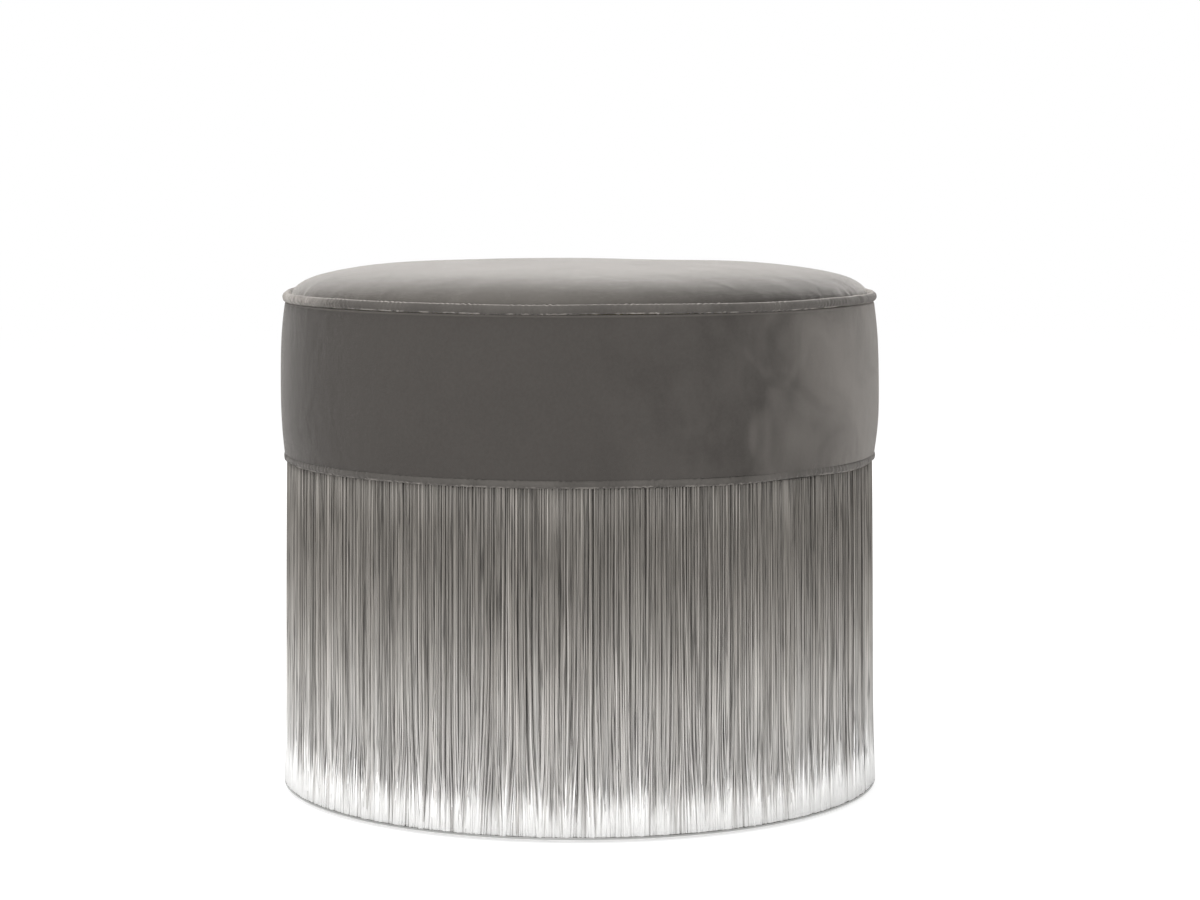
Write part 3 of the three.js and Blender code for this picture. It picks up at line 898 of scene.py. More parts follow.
@dataclass
class Crown:
    """The domed top: its velvet, the wadding under it and the foam below."""

    cover: Ring = field(default_factory=lambda: Ring.of("top_cover"))
    wadding: Ring = field(default_factory=lambda: Ring.of("seat_wadding"))
    foam: Ring = field(default_factory=lambda: Ring.of("seat_foam"))
    dome: float = 0.003
    plan_power: float = 7.2
    shoulder_power: float = 1.84
    velvet: float = 0.0016
    turn_in: float = 0.0077
    pucker: float = 0.00016
    swell: float = 0.0005
    sewn: SewnCloth = SewnCloth()
    columns: int = 480
    rows: int = 90

    def section(self, ring: Ring, rows: int) -> tuple[Floats, Floats]:
        """The crown's section from its foot to the centre.

        With t from 0 to a quarter turn, r = R cos(t)^(2/n) and z rises as h sin(t)^(2/m), plus a slight
        dome of 1 - (r/R)^2.

        Args:
            ring: the reach of the layer.
            rows: how many points the section has.

        Returns:
            Radii and levels.
        """
        angle = np.linspace(0, TURN / 4, rows)
        radii = ring.radius * np.clip(np.cos(angle), 0, 1) ** (2 / self.plan_power)
        radii[-1] = 0.0
        rise = ring.high - ring.low - self.dome
        lifted = rise * np.sin(angle) ** (2 / self.shoulder_power)
        return radii, ring.low + lifted + self.dome * (1 - (radii / ring.radius) ** 2)

    def closed_section(self, ring: Ring, inner_radii: Floats, inner_levels: Floats) -> tuple[Floats, Floats]:
        """Joins an inner outline, which starts on the axis, to the crown's outer section."""
        radii, levels = self.section(ring, self.rows)
        return np.concatenate([inner_radii, radii]), np.concatenate([inner_levels, levels])

    def sewn_moves(self, radii: Floats, levels: Floats) -> Floats:
        """The simulated gathers at each point of the cover.

        A point's place is its way in and up from the seam, (R - r) + (z - foot), in the rings' even steps.

        Args:
            radii: the profile's radii.
            levels: its levels.

        Returns:
            Outward and upward moves, 2 by profile points by columns.
        """
        section_radii, section_levels = self.section(self.cover, 400)
        section_way = self.cover.radius - section_radii + section_levels - self.cover.low
        ring_way = np.linspace(0, section_way[-1], self.sewn.rings + 1)[:-1]
        ring_radii = np.interp(ring_way, section_way, section_radii)
        moves = self.sewn.gathers(ring_radii, np.interp(ring_way, section_way, section_levels))
        way = np.clip(self.cover.radius - radii + levels - self.cover.low, 0, ring_way[-1])
        down = spline_weights(way / ring_way[1], self.sewn.rings)
        places = np.arange(self.columns) * self.sewn.columns / self.columns
        return down @ moves @ spline_weights(places, self.sewn.columns, closed=True).T

    def build_cover(self) -> bpy.types.Object:
        """Velvet with a turned-in edge, gathers at the seam and a soft unevenness on top."""
        inside = Ring(self.cover.radius - self.velvet, self.cover.low, self.cover.high - self.velvet)
        inner_radii, inner_levels = self.section(inside, self.rows)
        above = inner_levels > self.cover.low + self.velvet
        edge = self.cover.radius - self.turn_in
        inner_radii = np.concatenate([inner_radii[above][::-1], [edge, edge]])
        inner_levels = np.concatenate([inner_levels[above][::-1], [self.cover.low + self.velvet, self.cover.low]])
        radii, levels = self.closed_section(self.cover, inner_radii, inner_levels)
        angle = (np.arange(self.columns) * TURN / self.columns)[None, :]
        gathers = RingNoise(11, (60, 150), across=90.0)
        waves = RingNoise(12, (1, 7), across=26.0)
        height = levels - self.cover.low
        near_seam = np.exp(-height / 0.006) * ease(radii / edge, 0.9, 1.0)
        push = self.pucker * near_seam[:, None] * gathers.at(angle, radii[:, None])
        lift = self.swell * (ease(height, 0.002, 0.02) * (radii > 0))[:, None] * waves.at(angle, radii[:, None])
        lift = lift * ease(radii / self.cover.radius, 0.0, 0.3)[:, None]
        sewn = self.sewn_moves(radii, levels) * ease(height, 0.0, 0.003)[:, None]
        piece = revolve("velvet_crown", radii, levels, self.columns, push + sewn[0], lift + sewn[1])
        settle(piece, "velvet", CROWN_VELVET, "top_cover")
        return piece

    def build_padding(self) -> None:
        """The wadding as a soft shell over the foam, and the foam as a domed disc."""
        shell = self.wadding.low + 0.0002
        under = Ring(self.foam.radius + 0.0003, shell, self.foam.high + 0.0003)
        under_radii, under_levels = self.section(under, 30)
        inner_radii = np.concatenate([under_radii[::-1], [self.wadding.radius - 0.002]])
        inner_levels = np.concatenate([under_levels[::-1], [self.wadding.low]])
        lifted = Ring(self.wadding.radius, self.wadding.low + 0.0004, self.wadding.high)
        outer_radii, outer_levels = self.section(lifted, 40)
        radii = np.concatenate([inner_radii, outer_radii])
        levels = np.concatenate([inner_levels, outer_levels])
        wadding = revolve("wadding_layer", radii, levels, 160)
        settle(wadding, "wadding", WADDING, "seat_wadding")
        top = Ring(self.foam.radius, self.cover.low, self.foam.high)
        top_radii, top_levels = self.section(top, 30)
        radii = np.concatenate([[0.0, self.foam.radius - 0.001, self.foam.radius], top_radii])
        levels = np.concatenate([[self.foam.low, self.foam.low, self.foam.low + 0.001], top_levels])
        foam = revolve("foam_seat", radii, levels, 160)
        settle(foam, "foam", FOAM, "seat_foam")

    def build(self) -> None:
        """Builds all three layers."""
        self.build_cover()
        self.build_padding()


@dataclass
class Band:
    """The padded band between the two welts: its velvet, with a sewn seam at the back, and its foam."""

    cover: Ring = field(default_factory=lambda: Ring.of("band_cover"))
    foam: Ring = field(default_factory=lambda: Ring.of("band_foam"))
    upper_welt: Ring = field(default_factory=lambda: Ring.of("top_piping"))
    lower_welt: Ring = field(default_factory=lambda: Ring.of("bottom_piping"))
    top_stand: float = 0.0015
    swell: float = 0.0033
    swell_power: float = 2.6
    velvet: float = 0.0016
    welt_radius: float = 0.0035
    gap: float = 0.0003
    hug_angle: float = math.radians(40)
    roll: float = 0.0022
    roll_depth: float = 0.0014
    seam_depth: float = 0.0011
    seam_width: float = 0.0016
    columns: int = 720
    rows: int = 72

    @property
    def seam_radius(self) -> float:
        """The radius of the welts' centre lines."""
        return self.upper_welt.radius - self.welt_radius

    def face(self, inset: float, rows: int) -> tuple[Floats, Floats]:
        """The band's outer face from its foot up.

        A straight slope, plus a swell of 1 - |2s - 1|^p, less a quarter circle where the top edge rolls in.

        Args:
            inset: how far the face is taken in.
            rows: how many points it has.

        Returns:
            Radii and levels.
        """
        hug = self.welt_radius + self.gap
        low = self.lower_welt.middle + hug * math.sin(self.hug_angle)
        high = self.upper_welt.middle - self.welt_radius - self.gap
        share = np.sin(np.linspace(-TURN / 4, TURN / 4, rows)) / 2 + 0.5
        foot, top = self.seam_radius + hug * math.cos(self.hug_angle), self.seam_radius + self.top_stand
        swell = self.swell * (1 - np.abs(2 * share - 1) ** self.swell_power)
        into_roll = np.clip(1 - (1 - share) * (high - low) / self.roll, 0, 1)
        rolled = self.roll_depth * (1 - np.sqrt(1 - into_roll**2))
        return foot + (top - foot) * share + swell - rolled - inset, low + (high - low) * share

    def build_cover(self) -> bpy.types.Object:
        """Velvet whose foot lies round the lower welt and whose top rolls in under the upper one."""
        outer_radii, outer_levels = self.face(0.0, self.rows)
        inner_radii, inner_levels = self.face(self.velvet, self.rows // 3)
        turn = self.seam_radius - self.welt_radius / 2
        hug = self.welt_radius + self.gap
        lap = np.linspace(TURN / 4, self.hug_angle, 10)[:-1]
        lap_radii, lap_levels = self.seam_radius + hug * np.cos(lap), self.lower_welt.middle + hug * np.sin(lap)
        inner = (inner_levels > lap_levels[0] + self.velvet) & (inner_levels < outer_levels[-1] - self.velvet)
        radii = np.concatenate([[turn], lap_radii, outer_radii, [turn, turn], inner_radii[inner][::-1], [turn]])
        foot, top = lap_levels[0], outer_levels[-1]
        inner_ends = np.array([top, top - self.velvet])
        inner_wall = np.append(inner_levels[inner][::-1], foot + self.velvet)
        levels = np.concatenate([[foot], lap_levels, outer_levels, inner_ends, inner_wall])
        angle = (np.arange(self.columns) * TURN / self.columns)[None, :]
        share = np.clip((levels - foot) / (top - foot), 0, 1)[:, None]
        pulls = RingNoise(21, (50, 130), across=120.0)
        waves = RingNoise(22, (2, 11), across=30.0)
        near_edge = np.exp(-share / 0.05) + np.exp(-(1 - share) / 0.05)
        middle = ease(share, 0.0, 0.25) * ease(1 - share, 0.0, 0.25)
        from_back = np.abs((angle - TURN / 4 + TURN / 2) % TURN - TURN / 2) * self.seam_radius
        groove = self.seam_depth * np.exp(-((from_back / self.seam_width) ** 2))
        rolls = 0.45 * self.seam_depth * np.exp(-(((from_back - 2.6 * self.seam_width) / self.seam_width) ** 2))
        stitches = 0.12 * self.seam_depth * np.sin(levels * TURN / 0.0032)[:, None] * np.exp(-((from_back / 0.003) ** 2))
        push = 0.00007 * near_edge * pulls.at(angle, levels[:, None])
        push = push + 0.0003 * middle * waves.at(angle, levels[:, None])
        push = push + middle * (rolls + stitches - groove)
        piece = revolve("velvet_band", radii, levels, self.columns, push, closed=True)
        settle(piece, "velvet", BAND_VELVET, "band_cover")
        return piece

    def build_foam(self) -> bpy.types.Object:
        """The foam behind the velvet, with soft corners."""
        inner = Ring.of("band_shell").radius + self.gap
        outer_radii, outer_levels = self.face(self.velvet + self.gap, 24)
        kept = slice(1, -1)
        radii = np.concatenate([[inner, self.foam.radius - 0.003], outer_radii[kept], [self.foam.radius - 0.006, inner]])
        low = Ring.of("band_shell").low
        levels = np.concatenate([[low, low], np.maximum(outer_levels[kept], low), [self.foam.high, self.foam.high]])
        piece = revolve("foam_band", radii, levels, 200, closed=True)
        settle(piece, "foam", FOAM, "band_foam")
        return piece

    def build(self) -> None:
        """Builds the velvet and the foam."""
        self.build_cover()
        self.build_foam()


@dataclass
class Welt:
    """Velvet piping folded round a cord, with the small cross creases of cloth on a bend."""

    node: str
    finish: WeltVelvet
    seed: int
    flange_reach: float
    radius: float = 0.0035
    crease: float = 0.00022
    columns: int = 1440
    section_steps: int = 22
    core_radius: float = 0.0021

    def build_cloth(self) -> bpy.types.Object:
        """A tube with a flat flange that runs inwards, as one closed outline round the axis."""
        ring = Ring.of(self.node)
        centre, level = ring.radius - self.radius, ring.middle
        half_flange = self.radius / 3
        mouth = math.asin(half_flange / self.radius)
        section = np.linspace(mouth - TURN / 2, TURN / 2 - mouth, self.section_steps)
        flange = [self.flange_reach, self.flange_reach]
        radii = np.concatenate([centre + self.radius * np.cos(section), flange])
        tube = level + self.radius * np.sin(section)
        levels = np.concatenate([tube, [level + half_flange, level - half_flange]])
        angle = (np.arange(self.columns) * TURN / self.columns)[None, :]
        turned = np.concatenate([section, section[[-1, 0]]])[:, None]
        creases = RingNoise(self.seed, (150, 420), across=2.4, count=40)
        patches = RingNoise(self.seed + 1, (20, 70), count=20)
        strength = 0.55 + 0.45 * np.clip(patches.at(angle), -1, 1)
        sag = RingNoise(self.seed + 2, (3, 14), count=12)
        on_tube = (np.abs(turned) < TURN / 2 - mouth).astype(float)
        depth = self.crease * strength * creases.at(angle, turned) * on_tube
        wander = 0.00036 * sag.at(angle) * on_tube
        push = depth * np.cos(turned)
        lift = depth * np.sin(turned) + wander
        piece = revolve(f"{self.node}_cloth", radii, levels, self.columns, push, lift, closed=True)
        return settle(piece, "velvet", self.finish, self.node)

    def build_core(self) -> bpy.types.Object:
        """The twisted cotton cord inside: a tube whose section has three turning lobes."""
        ring = Ring.of(self.node)
        centre, level = ring.radius - self.radius, ring.middle
        section = np.arange(12) * TURN / 12
        angle = (np.arange(720) * TURN / 720)[None, :]
        lobes = 1 + 0.12 * np.cos(3 * (section[:, None] - angle * 90))
        push = self.core_radius * (lobes - 1) * np.cos(section)[:, None]
        lift = self.core_radius * (lobes - 1) * np.sin(section)[:, None]
        radii = centre + self.core_radius * np.cos(section)
        levels = level + self.core_radius * np.sin(section)
        piece = revolve(f"{self.node}_core", radii, levels, 720, push, lift, closed=True)
        return settle(piece, "cotton", COTTON, f"{self.node}_cord")

    def build(self) -> None:
        """Builds the cloth and its cord."""
        self.build_cloth()
        self.build_core()


# The fringe


@dataclass
class Fringe:
    """Thousands of silky threads in layers, gathered in bunches that part on the way down.

    The bunches of the outer layers draw in below the heading, which opens dark gaps between them. Near
    the hem they spread out and curl sideways, and the layers close up, so that the gaps close too.
    """

    front: Ring = field(default_factory=lambda: Ring.of("fringe_front"))
    welt: Ring = field(default_factory=lambda: Ring.of("bottom_piping"))
    hem_radius: float = 0.2323
    top_radius: float = 0.228
    flare_start: float = 0.68
    thread_radii: tuple[float, float] = (0.00034, 0.00062)
    layers: int = 5
    layer_depth: float = 0.00105
    threads: int = 6400
    rings: int = 13
    sides: int = 4
    bunches: int = 290
    draw_in: tuple[float, float] = (0.0, 0.52)
    fan: float = 1.5
    bunch_lean: float = 0.0012
    curl: float = 0.0026
    stray_share: float = 0.04
    # Inner layers keep the taupe lower down: painted shade in the gaps between the bunches.
    inner_painted_shade: float = 0.18
    ridge: float = 0.0005
    frayed: float = 1.0
    seed: int = 31

    @property
    def top(self) -> float:
        """Where the threads come out from under the welt."""
        return self.welt.low + 0.0001

    @property
    def hem(self) -> float:
        """Where the longest threads end, just clear of the plate."""
        return self.front.low - 0.0005

    def drift(self, angle: Floats, fall: Floats, draw: np.random.Generator) -> Floats:
        """How far each thread moves sideways on its way down.

        Sideways = place in the bunch * (spread at the hem - draw-in halfway) + the bunch's lean + a slow
        sway and a quicker curl round the circle + the thread's own wander and its own small wave, each
        times an eased share of the fall. Inner threads keep to their places: spread, draw-in, lean and
        curl fade with depth.

        Args:
            angle: the threads' angles at the top.
            fall: 0 at the top to 1 at the hem, for each ring.
            draw: the source of random numbers.

        Returns:
            Metres along the circle, threads by rings.
        """
        count = len(angle)
        spacing = TURN / self.bunches
        middles = (np.arange(self.bunches) + draw.uniform(-0.36, 0.36, self.bunches)) * spacing
        ringed = np.concatenate([middles[-1:] - TURN, middles, middles[:1] + TURN])
        own_bunch = np.abs(angle[:, None] - ringed[None, :]).argmin(axis=1)
        bunch = (own_bunch - 1) % self.bunches
        from_middle = (angle - ringed[own_bunch]) * self.top_radius
        depth = (np.arange(count) % self.layers) / (self.layers - 1)
        loose = 1 - ease(depth, 0.2, 0.9)
        draw_in = draw.uniform(*self.draw_in, self.bunches)[bunch] * loose
        spread = self.fan * draw.uniform(0, 1, self.bunches)[bunch] ** 2 * loose
        lean = draw.normal(0, self.bunch_lean, self.bunches)[bunch] * loose
        sway = 0.0022 * RingNoise(self.seed + 1, (7, 34)).at(angle)
        curl = self.curl * RingNoise(self.seed + 4, (36, 88)).at(angle) * loose
        parted = ease(fall, 0.04, 0.6) * (1 - ease(fall, 0.78, 0.98))
        splayed = ease(fall, 0.68, 1.02)
        strays = draw.uniform(0, 1, count) < self.stray_share
        own = draw.normal(0, np.where(strays, 0.004, 0.0007))
        wave = 0.00022 * np.sin(fall * draw.uniform(5, 13, count)[:, None] + draw.uniform(0, TURN, count)[:, None])
        return (
            from_middle[:, None] * (spread[:, None] * splayed - draw_in[:, None] * parted)
            + lean[:, None] * ease(fall, 0.5, 1.1)
            + sway[:, None] * ease(fall, 0.35, 1.15)
            + curl[:, None] * ease(fall, 0.66, 1.08)
            + own[:, None] * ease(fall, 0.25, 1.3)
            + wave * ease(fall, 0.0, 0.3)
        )

    def centre_lines(self, draw: np.random.Generator) -> Floats:
        """The threads' centre lines: layers of a surface that hangs straight and flares near the hem.

        Args:
            draw: the source of random numbers.

        Returns:
            Points, threads by rings by 3.
        """
        number = np.arange(self.threads)
        angle = (number + draw.uniform(-0.5, 0.5, self.threads) * self.layers) * TURN / self.threads
        fall = np.linspace(0, 1, self.rings) ** 0.85
        sideways = self.drift(angle, fall, draw)
        flare = 0.72 * fall**0.8 + 0.28 * ease(fall, self.flare_start, 1.1)
        outer = self.top_radius + (self.hem_radius - self.top_radius) * flare
        ridges = self.ridge * (1 + RingNoise(self.seed + 5, (240, 560)).at(angle))
        depth = (number % self.layers) * self.layer_depth + np.maximum(ridges, 0)
        closed_up = 1 - 0.7 * ease(fall, 0.8, 1.0)
        ruffle = np.abs(draw.normal(0, 0.0005, self.threads))[:, None] * ease(fall, 0.4, 1.0)
        radius = outer - self.thread_radii[1] - depth[:, None] * closed_up - ruffle
        end = self.hem + draw.uniform(0, 0.0004, self.threads)
        level = self.top + (end[:, None] - self.top) * fall
        turned = angle[:, None] + sideways / radius
        return np.stack([radius * np.cos(turned), radius * np.sin(turned), level], axis=-1)

    def thread_mesh(self, name: str, lines: Floats, radii: Floats, tones: Floats) -> bpy.types.Object:
        """Sweeps a small closed section along each line: line point + radius * section, wider at the hem.

        Args:
            name: the piece's name.
            lines: centre lines, threads by rings by 3.
            radii: each thread's radius.
            tones: each thread's shade and dye level, threads by 2.

        Returns:
            One object with a UV map "thread", round and along in metres, and one "tone".
        """
        count, rings, sides = len(lines), lines.shape[1], self.sides
        outward = np.arctan2(lines[:, :, 1], lines[:, :, 0])[..., None]
        around = outward + np.arange(sides) * TURN / sides
        section = np.stack([np.cos(around), np.sin(around), np.zeros_like(around)], axis=-1)
        frayed = 1 + self.frayed * ease(np.linspace(0, 1, rings) ** 0.85, 0.84, 1.0)[None, :, None, None]
        points = lines[:, :, None, :] + radii[:, None, None, None] * frayed * section
        thread, ring, side = (
            grid.ravel() for grid in np.meshgrid(range(count), range(rings - 1), range(sides), indexing="ij")
        )
        corner_ring = np.stack([ring, ring + 1, ring + 1, ring], axis=-1)
        corner_side = np.stack([side, side, side + 1, side + 1], axis=-1)
        numbers = (thread[:, None] * rings + corner_ring) * sides + corner_side % sides
        first = np.arange(count)[:, None] * rings * sides + np.arange(sides)
        last = first + (rings - 1) * sides
        faces = numbers.tolist() + first.tolist() + last[:, ::-1].tolist()
        length = (self.top - self.hem) / (rings - 1)
        wall = np.stack([corner_side / sides, corner_ring * length], axis=-1).reshape(-1, 2)
        ends = np.zeros((2 * count * sides, 2))
        own = np.concatenate([np.repeat(tones[thread], 4, axis=0), np.tile(np.repeat(tones, sides, axis=0), (2, 1))])
        return make_object(name, points, faces, {"thread": np.concatenate([wall, ends]), "tone": own})

    def build_heading(self, finish: Finish) -> bpy.types.Object:
        """The woven heading that the threads hang from, behind the welt."""
        inner, outer = self.top_radius - 0.0075, self.top_radius - 0.0053
        lip = self.top_radius - 0.0016
        low, shelf, high = self.welt.low - 0.0014, self.welt.low - 0.0003, self.welt.middle - 0.0015
        corners = [
            (inner, low, 0.0),
            (lip, low, 0.0003),
            (lip, shelf, 0.0003),
            (outer, shelf, 0.0),
            (outer, high, 0.0004),
            (inner, high, 0.0004),
        ]
        radii, levels = rounded_outline(corners)
        piece = revolve("fringe_heading", radii, levels, 240, closed=True)
        return settle(piece, "fringe_yarn", finish)

    def build(self) -> None:
        """Builds the heading and the four quarters of thread."""
        # The braid's dark colour is painted shade: where its lip shows between the threads under the welt, it reads as
        # the shade there.
        self.build_heading(Cloth("heading_braid", (0.06, 0.055, 0.05), 0.0005))
        yarn = Yarn(hem=self.hem, top=self.top)
        draw = np.random.default_rng(self.seed)
        lines = self.centre_lines(draw)
        start = np.arctan2(lines[:, 0, 1], lines[:, 0, 0])
        radii = draw.uniform(*self.thread_radii, self.threads)
        strand = RingNoise(self.seed + 6, (260, 640), count=60).at(start)
        clump = RingNoise(self.seed + 2, (25, 110)).at(start)
        shade = draw.normal(0.5, 0.15, self.threads) + 0.17 * strand + 0.07 * clump
        depth = (np.arange(self.threads) % self.layers) / (self.layers - 1)
        dye = draw.normal(0.42, 0.22, self.threads) + 0.08 * RingNoise(self.seed + 3, (12, 70)).at(start)
        # Deeper threads are shifted towards taupe: painted shade in the gaps.
        dye = dye + self.inner_painted_shade * depth
        tones = np.clip(np.stack([shade, dye], axis=-1), 0, 1)
        for side in Side:
            mine = np.abs((start / TURN - side.value + 0.5) % 1.0 - 0.5) <= 0.125
            name = f"yarn_{side.name.lower()}"
            piece = self.thread_mesh(name, lines[mine], radii[mine], tones[mine])
            settle(piece, "fringe_yarn", yarn, f"fringe_{side.name.lower()}")


# The drum


@dataclass
class Drum:
    """The wooden drum inside, and the cloth that lines its skirt."""

    posts: int = 6

    def dress_wood(self) -> None:
        """Gives the boards, shells and posts their wood."""
        plywood = ("seat_board", "band_shell", "middle_ring", "skirt_shell", "base_board")
        pine = tuple(f"post_{number + 1}" for number in range(self.posts))
        for names, finish in ((plywood, PLYWOOD), (pine, PINE)):
            for name in names:
                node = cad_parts[name]
                node.data.materials.clear()
                node.data.materials.append(finish.material)
                log.info("%s: dressed in %s", name, finish.name)

    def build_lining(self) -> bpy.types.Object:
        """The lining: a thin cloth cylinder drawn tight round the drum."""
        lowest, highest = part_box("skirt_lining")
        outer = highest.x
        inner = outer - 0.0006
        low, high = lowest.z, highest.z
        rows = 20
        levels = np.linspace(low, high, rows)
        radii = np.concatenate([np.full(rows, outer), np.full(rows, inner)])
        piece = revolve("lining_cloth", radii, np.concatenate([levels, levels[::-1]]), 360, closed=True)
        settle(piece, "lining", LINING, "skirt_lining")
        return piece

    def build(self) -> None:
        """Dresses the wood and builds the lining."""
        self.dress_wood()
        self.build_lining()


# The foot


@dataclass
class Screw:
    """A countersunk screw with a cross recess and a real thread."""

    node: str
    shank: float = 0.002
    head: float = 0.004
    head_height: float = 0.0022
    thread_depth: float = 0.0005
    pitch: float = 0.0018
    tip: float = 0.004
    recess_width: float = 0.0009
    recess_reach: float = 0.0026
    recess_depth: float = 0.0014
    columns: int = 24

    def profile(self, length: float) -> tuple[Floats, Floats]:
        """Radii and depths below the head's face, from the tip's point up over the head to its centre."""
        shaft = np.linspace(length, self.head_height, 64)
        core = self.shank - self.thread_depth
        radii = np.where(shaft > length - self.tip, core * (length - shaft) / self.tip, core)
        cone = np.linspace(self.head_height, 0.0002, 4)[1:]
        cone_radii = self.shank + (self.head - self.shank) * (1 - cone / self.head_height)
        face = np.linspace(self.head - 0.0001, 0, 14)
        return np.concatenate([radii, cone_radii, face]), np.concatenate([shaft, cone, np.zeros(14)])

    def build(self) -> bpy.types.Object:
        """Places the screw on its CAD node's axis, with its head where the node's head is."""
        lowest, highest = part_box(self.node)
        points_up = self.node.startswith(("base", "plate"))
        length = highest.z - lowest.z
        radii, depths = self.profile(length)
        angle = (np.arange(self.columns) * TURN / self.columns)[None, :]
        deep = depths[:, None]
        wave = np.abs((deep / self.pitch - angle / TURN) % 1.0 * 2 - 1)
        threaded = ease(deep, 0.003, 0.005) * ease(length - deep, 0.0, 0.003)
        push = self.thread_depth * wave * threaded * (radii > 0)[:, None]
        on_face = (depths == 0)[:, None]
        x, y = radii[:, None] * np.cos(angle), radii[:, None] * np.sin(angle)
        arm = np.minimum(np.abs(x), np.abs(y))
        inside = ease(self.recess_width - arm, 0.0, 0.0004) * ease(self.recess_reach - np.hypot(x, y), 0.0, 0.0006)
        sunk = self.recess_depth * inside * on_face
        piece = revolve(f"{self.node}_turned", radii, -depths, self.columns, push, -sunk)
        head_level = lowest.z if points_up else highest.z
        half_turn = (1.0, -1.0, -1.0) if points_up else (1.0, 1.0, 1.0)
        move(piece, ((lowest.x + highest.x) / 2, (lowest.y + highest.y) / 2, head_level), half_turn)
        return settle(piece, "zinc", ZINC, self.node)

    def hole_cutter(self, spare: float) -> bpy.types.Object:
        """A shape that cuts the hole of a screw that points up: a bore, wider for the head at its lower end.

        Args:
            spare: how much wider than the screw the hole is.

        Returns:
            The closed shape, a little longer than the screw at both ends.
        """
        lowest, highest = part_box(self.node)
        wide, narrow, beyond = self.head + spare, self.shank + spare, self.head
        corners = [
            (0.0, -beyond),
            (wide, -beyond),
            (wide, 0.0),
            (narrow, self.head_height),
            (narrow, highest.z - lowest.z + beyond),
            (0.0, highest.z - lowest.z + beyond),
        ]
        radii, levels = (np.array(values) for values in zip(*corners))
        cutter = revolve(f"{self.node}_cutter", radii, levels, 2 * self.columns)
        move(cutter, ((lowest.x + highest.x) / 2, (lowest.y + highest.y) / 2, lowest.z))
        return cutter


@dataclass
class Foot:
    """The steel plate that the tuffet stands on, its screws and felt pads, and the dust cloth."""

    plate: Ring = field(default_factory=lambda: Ring.of("foot_plate"))
    screw_kinds: tuple[str, ...] = ("seat_screw", "base_screw", "plate_screw")
    pads: int = 6
    chamfer: float = 0.001
    rounding: float = 0.00025
    spare: float = 0.0001

    def hole_cutters(self) -> list[bpy.types.Object]:
        """The shapes that cut the holes of the plate screws."""
        return [Screw(f"plate_screw_{number + 1}").hole_cutter(self.spare) for number in range(self.pads)]

    def build_plate(self) -> bpy.types.Object:
        """A flat disc with a chamfered lower edge, cut for its countersunk screws."""
        top, low, radius = self.plate.high, self.plate.low, self.plate.radius
        corners = [
            (0.0, low, 0.0),
            (radius - self.chamfer, low, self.rounding),
            (radius, low + self.chamfer, self.rounding),
            (radius, top, self.rounding),
            (0.0, top, 0.0),
        ]
        radii, levels = rounded_outline(corners)
        piece = drill(revolve("steel_plate", radii, levels, 360), self.hole_cutters())
        return settle(piece, "satin_steel", STEEL, "foot_plate")

    def build_pads(self) -> None:
        """Soft-edged felt discs."""
        for number in range(self.pads):
            node = f"felt_pad_{number + 1}"
            lowest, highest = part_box(node)
            centre = ((lowest.x + highest.x) / 2, (lowest.y + highest.y) / 2, 0.0)
            reach, thick = (highest.x - lowest.x) / 2, highest.z - lowest.z
            corners = [
                (0.0, 0.0, 0.0),
                (reach, 0.0, thick / 3),
                (reach, thick, thick / 3),
                (0.0, thick, 0.0),
            ]
            radii, levels = rounded_outline(corners)
            piece = revolve(f"{node}_disc", radii, levels, 48)
            move(piece, centre)
            settle(piece, "felt", FELT, node)

    def build_dust_cloth(self) -> bpy.types.Object:
        """A thin non-woven disc between the base board and the plate."""
        ring = Ring.of("dust_cover")
        radii = np.concatenate([np.linspace(0, ring.radius, 12), np.linspace(ring.radius, 0, 12)])
        levels = np.concatenate([np.full(12, ring.low), np.full(12, ring.high)])
        piece = drill(revolve("dust_cloth_disc", radii, levels, 120), self.hole_cutters())
        settle(piece, "dust_cloth", DUST_CLOTH, "dust_cover")
        return piece

    def build(self) -> None:
        """Builds plate, pads, dust cloth and every screw."""
        self.build_plate()
        self.build_pads()
        self.build_dust_cloth()
        for kind in self.screw_kinds:
            for number in range(self.pads):
                Screw(f"{kind}_{number + 1}").build()


# The studio


@dataclass
class Lamp:
    """A soft rectangular studio lamp."""

    name: str
    place: tuple[float, float, float]
    size: float
    power: float

    def build(self, target: tuple[float, float, float]) -> None:
        """Hangs the lamp so that it points at the target.

        Args:
            target: where it points.
        """
        data = bpy.data.lights.new(self.name, "AREA")
        data.energy = self.power
        data.size = self.size
        lamp = bpy.data.objects.new(self.name, data)
        lamp.location = self.place
        aim = np.array(target) - np.array(self.place)
        pitch = math.acos(-aim[2] / np.linalg.norm(aim))
        lamp.rotation_euler = (pitch, 0.0, math.atan2(aim[1], aim[0]) - TURN / 4)
        bpy.context.scene.collection.objects.link(lamp)


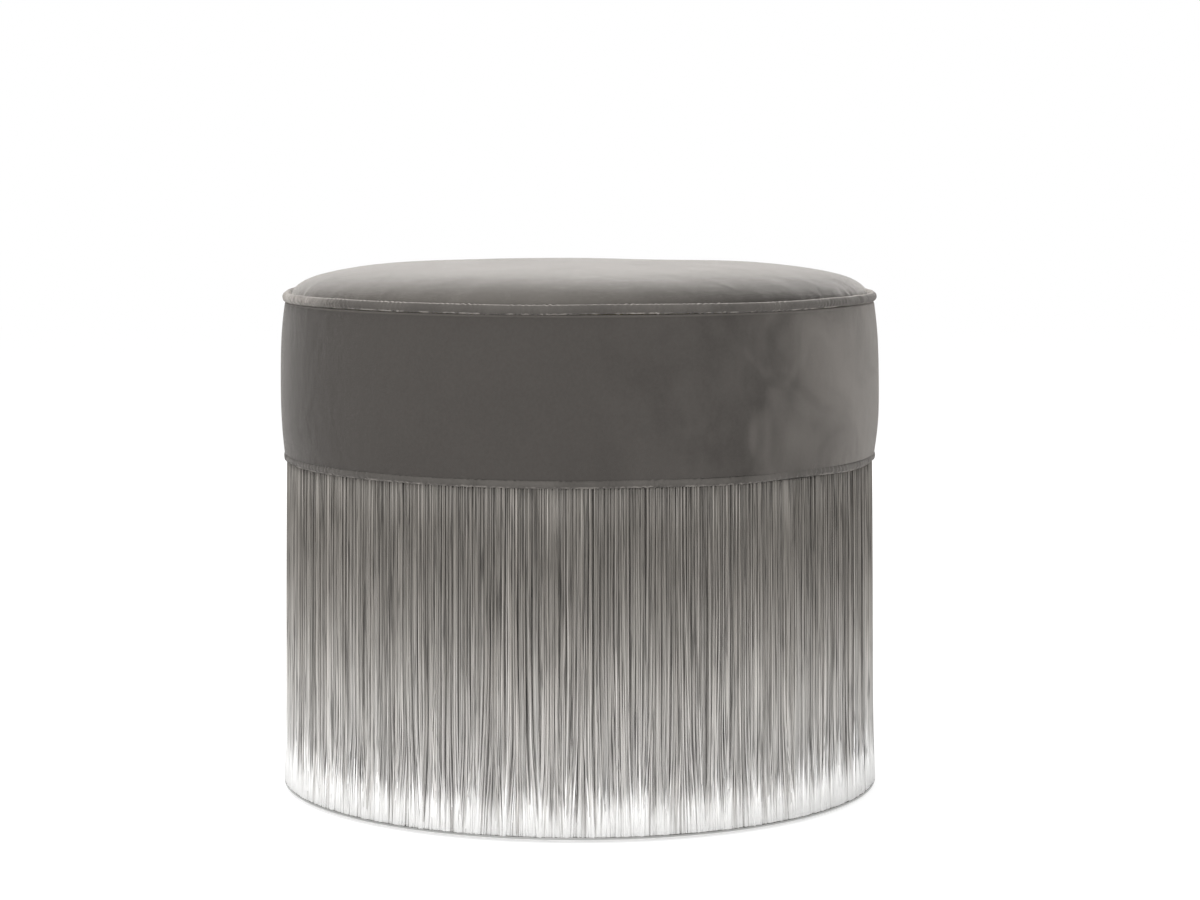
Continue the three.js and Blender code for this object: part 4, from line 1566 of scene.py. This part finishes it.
@dataclass
class Studio:
    """Plain floor, soft light, and the camera of the photograph."""

    distance: float = 2.3
    eye_level: float = 0.488
    tilt: float = math.radians(5.686)
    pan: float = math.radians(0.394)
    lens: float = 88.63
    world_light: float = 0.8
    floor_reach: float = 6.0
    lamps: tuple[Lamp, ...] = (
        Lamp("key", (-0.45, -2.35, 1.1), 1.6, 18.5),
        Lamp("overhead", (-0.5, -0.3, 2.2), 1.6, 24.0),
        Lamp("back", (-0.3, 2.0, 1.3), 1.6, 29.0),
    )

    def build_camera(self) -> None:
        """The camera stands in front, tilted down and panned a little to the right."""
        data = bpy.data.cameras.new("photo_camera")
        data.lens = self.lens
        data.sensor_width = 36.0
        data.clip_end = 50.0
        camera = bpy.data.objects.new("photo_camera", data)
        camera.location = (0.0, -self.distance, self.eye_level)
        camera.rotation_euler = (TURN / 4 - self.tilt, 0.0, -self.pan)
        bpy.context.scene.collection.objects.link(camera)
        bpy.context.scene.camera = camera

    def seen_directly(self, tree: bpy.types.NodeTree) -> Socket:
        """1 for camera, glossy and transmission rays, and 0 for the rays that light the object."""
        path = tree.nodes.new("ShaderNodeLightPath")
        total = path.outputs["Is Camera Ray"]
        for kind in ("Is Glossy Ray", "Is Transmission Ray"):
            added = tree.nodes.new("ShaderNodeMath")
            added.use_clamp = True
            tree.links.new(total, added.inputs[0])
            tree.links.new(path.outputs[kind], added.inputs[1])
            total = added.outputs[0]
        return total

    def build_world(self) -> None:
        """An even pale world that shows white behind the object."""
        world = bpy.data.worlds.new("studio")
        world.use_nodes = True
        tree = world.node_tree
        seen = self.seen_directly(tree)
        strength = tree.nodes.new("ShaderNodeMapRange")
        strength.inputs["To Min"].default_value = self.world_light
        strength.inputs["To Max"].default_value = 1.0
        tree.links.new(seen, strength.inputs["Value"])
        background = tree.nodes["Background"]
        background.inputs["Color"].default_value = (1.0, 1.0, 1.0, 1.0)
        tree.links.new(strength.outputs["Result"], background.inputs["Strength"])
        bpy.context.scene.world = world

    def build_floor(self) -> None:
        """A plain floor that looks white and keeps the object's soft shadow."""
        reach = self.floor_reach
        corners = np.array([[-reach, -reach, 0], [reach, -reach, 0], [reach, reach, 0], [-reach, reach, 0]])
        floor = make_object("floor", corners, [[0, 1, 2, 3]], {})
        material = bpy.data.materials.new("studio_floor")
        material.use_nodes = True
        tree = material.node_tree
        plain = tree.nodes["Principled BSDF"]
        plain.inputs["Base Color"].default_value = (0.92, 0.92, 0.92, 1.0)
        plain.inputs["Roughness"].default_value = 0.9
        thin = tree.nodes.new("ShaderNodeBsdfDiffuse")
        thin.inputs["Color"].default_value = (0.42, 0.42, 0.42, 1.0)
        glow = tree.nodes.new("ShaderNodeEmission")
        glow.inputs["Strength"].default_value = 0.66
        shadowed = tree.nodes.new("ShaderNodeAddShader")
        tree.links.new(thin.outputs[0], shadowed.inputs[0])
        tree.links.new(glow.outputs[0], shadowed.inputs[1])
        chosen = tree.nodes.new("ShaderNodeMixShader")
        tree.links.new(self.seen_directly(tree), chosen.inputs[0])
        tree.links.new(plain.outputs[0], chosen.inputs[1])
        tree.links.new(shadowed.outputs[0], chosen.inputs[2])
        tree.links.new(chosen.outputs[0], tree.nodes["Material Output"].inputs["Surface"])
        floor.data.materials.append(material)

    def build(self) -> None:
        """Builds camera, world, floor and lamps."""
        bpy.context.scene.view_settings.view_transform = "Standard"
        self.build_camera()
        self.build_world()
        self.build_floor()
        for lamp in self.lamps:
            lamp.build((0.0, 0.0, 0.25))


def main() -> None:
    """Builds the studio, then the tuffet from the top down."""
    logging.basicConfig(level=logging.INFO, format="%(name)s %(message)s")
    Studio().build()
    Crown().build()
    Band().build()
    seam_inner = Ring.of("top_piping").radius - 0.015
    Welt("top_piping", WELT_VELVET, seed=41, flange_reach=seam_inner).build()
    low_inner = Ring.of("bottom_piping").radius - 0.0095
    Welt("bottom_piping", LOWER_WELT_VELVET, seed=51, flange_reach=low_inner).build()
    Fringe().build()
    Drum().build()
    Foot().build()


if __name__ == "__main__":
    main()
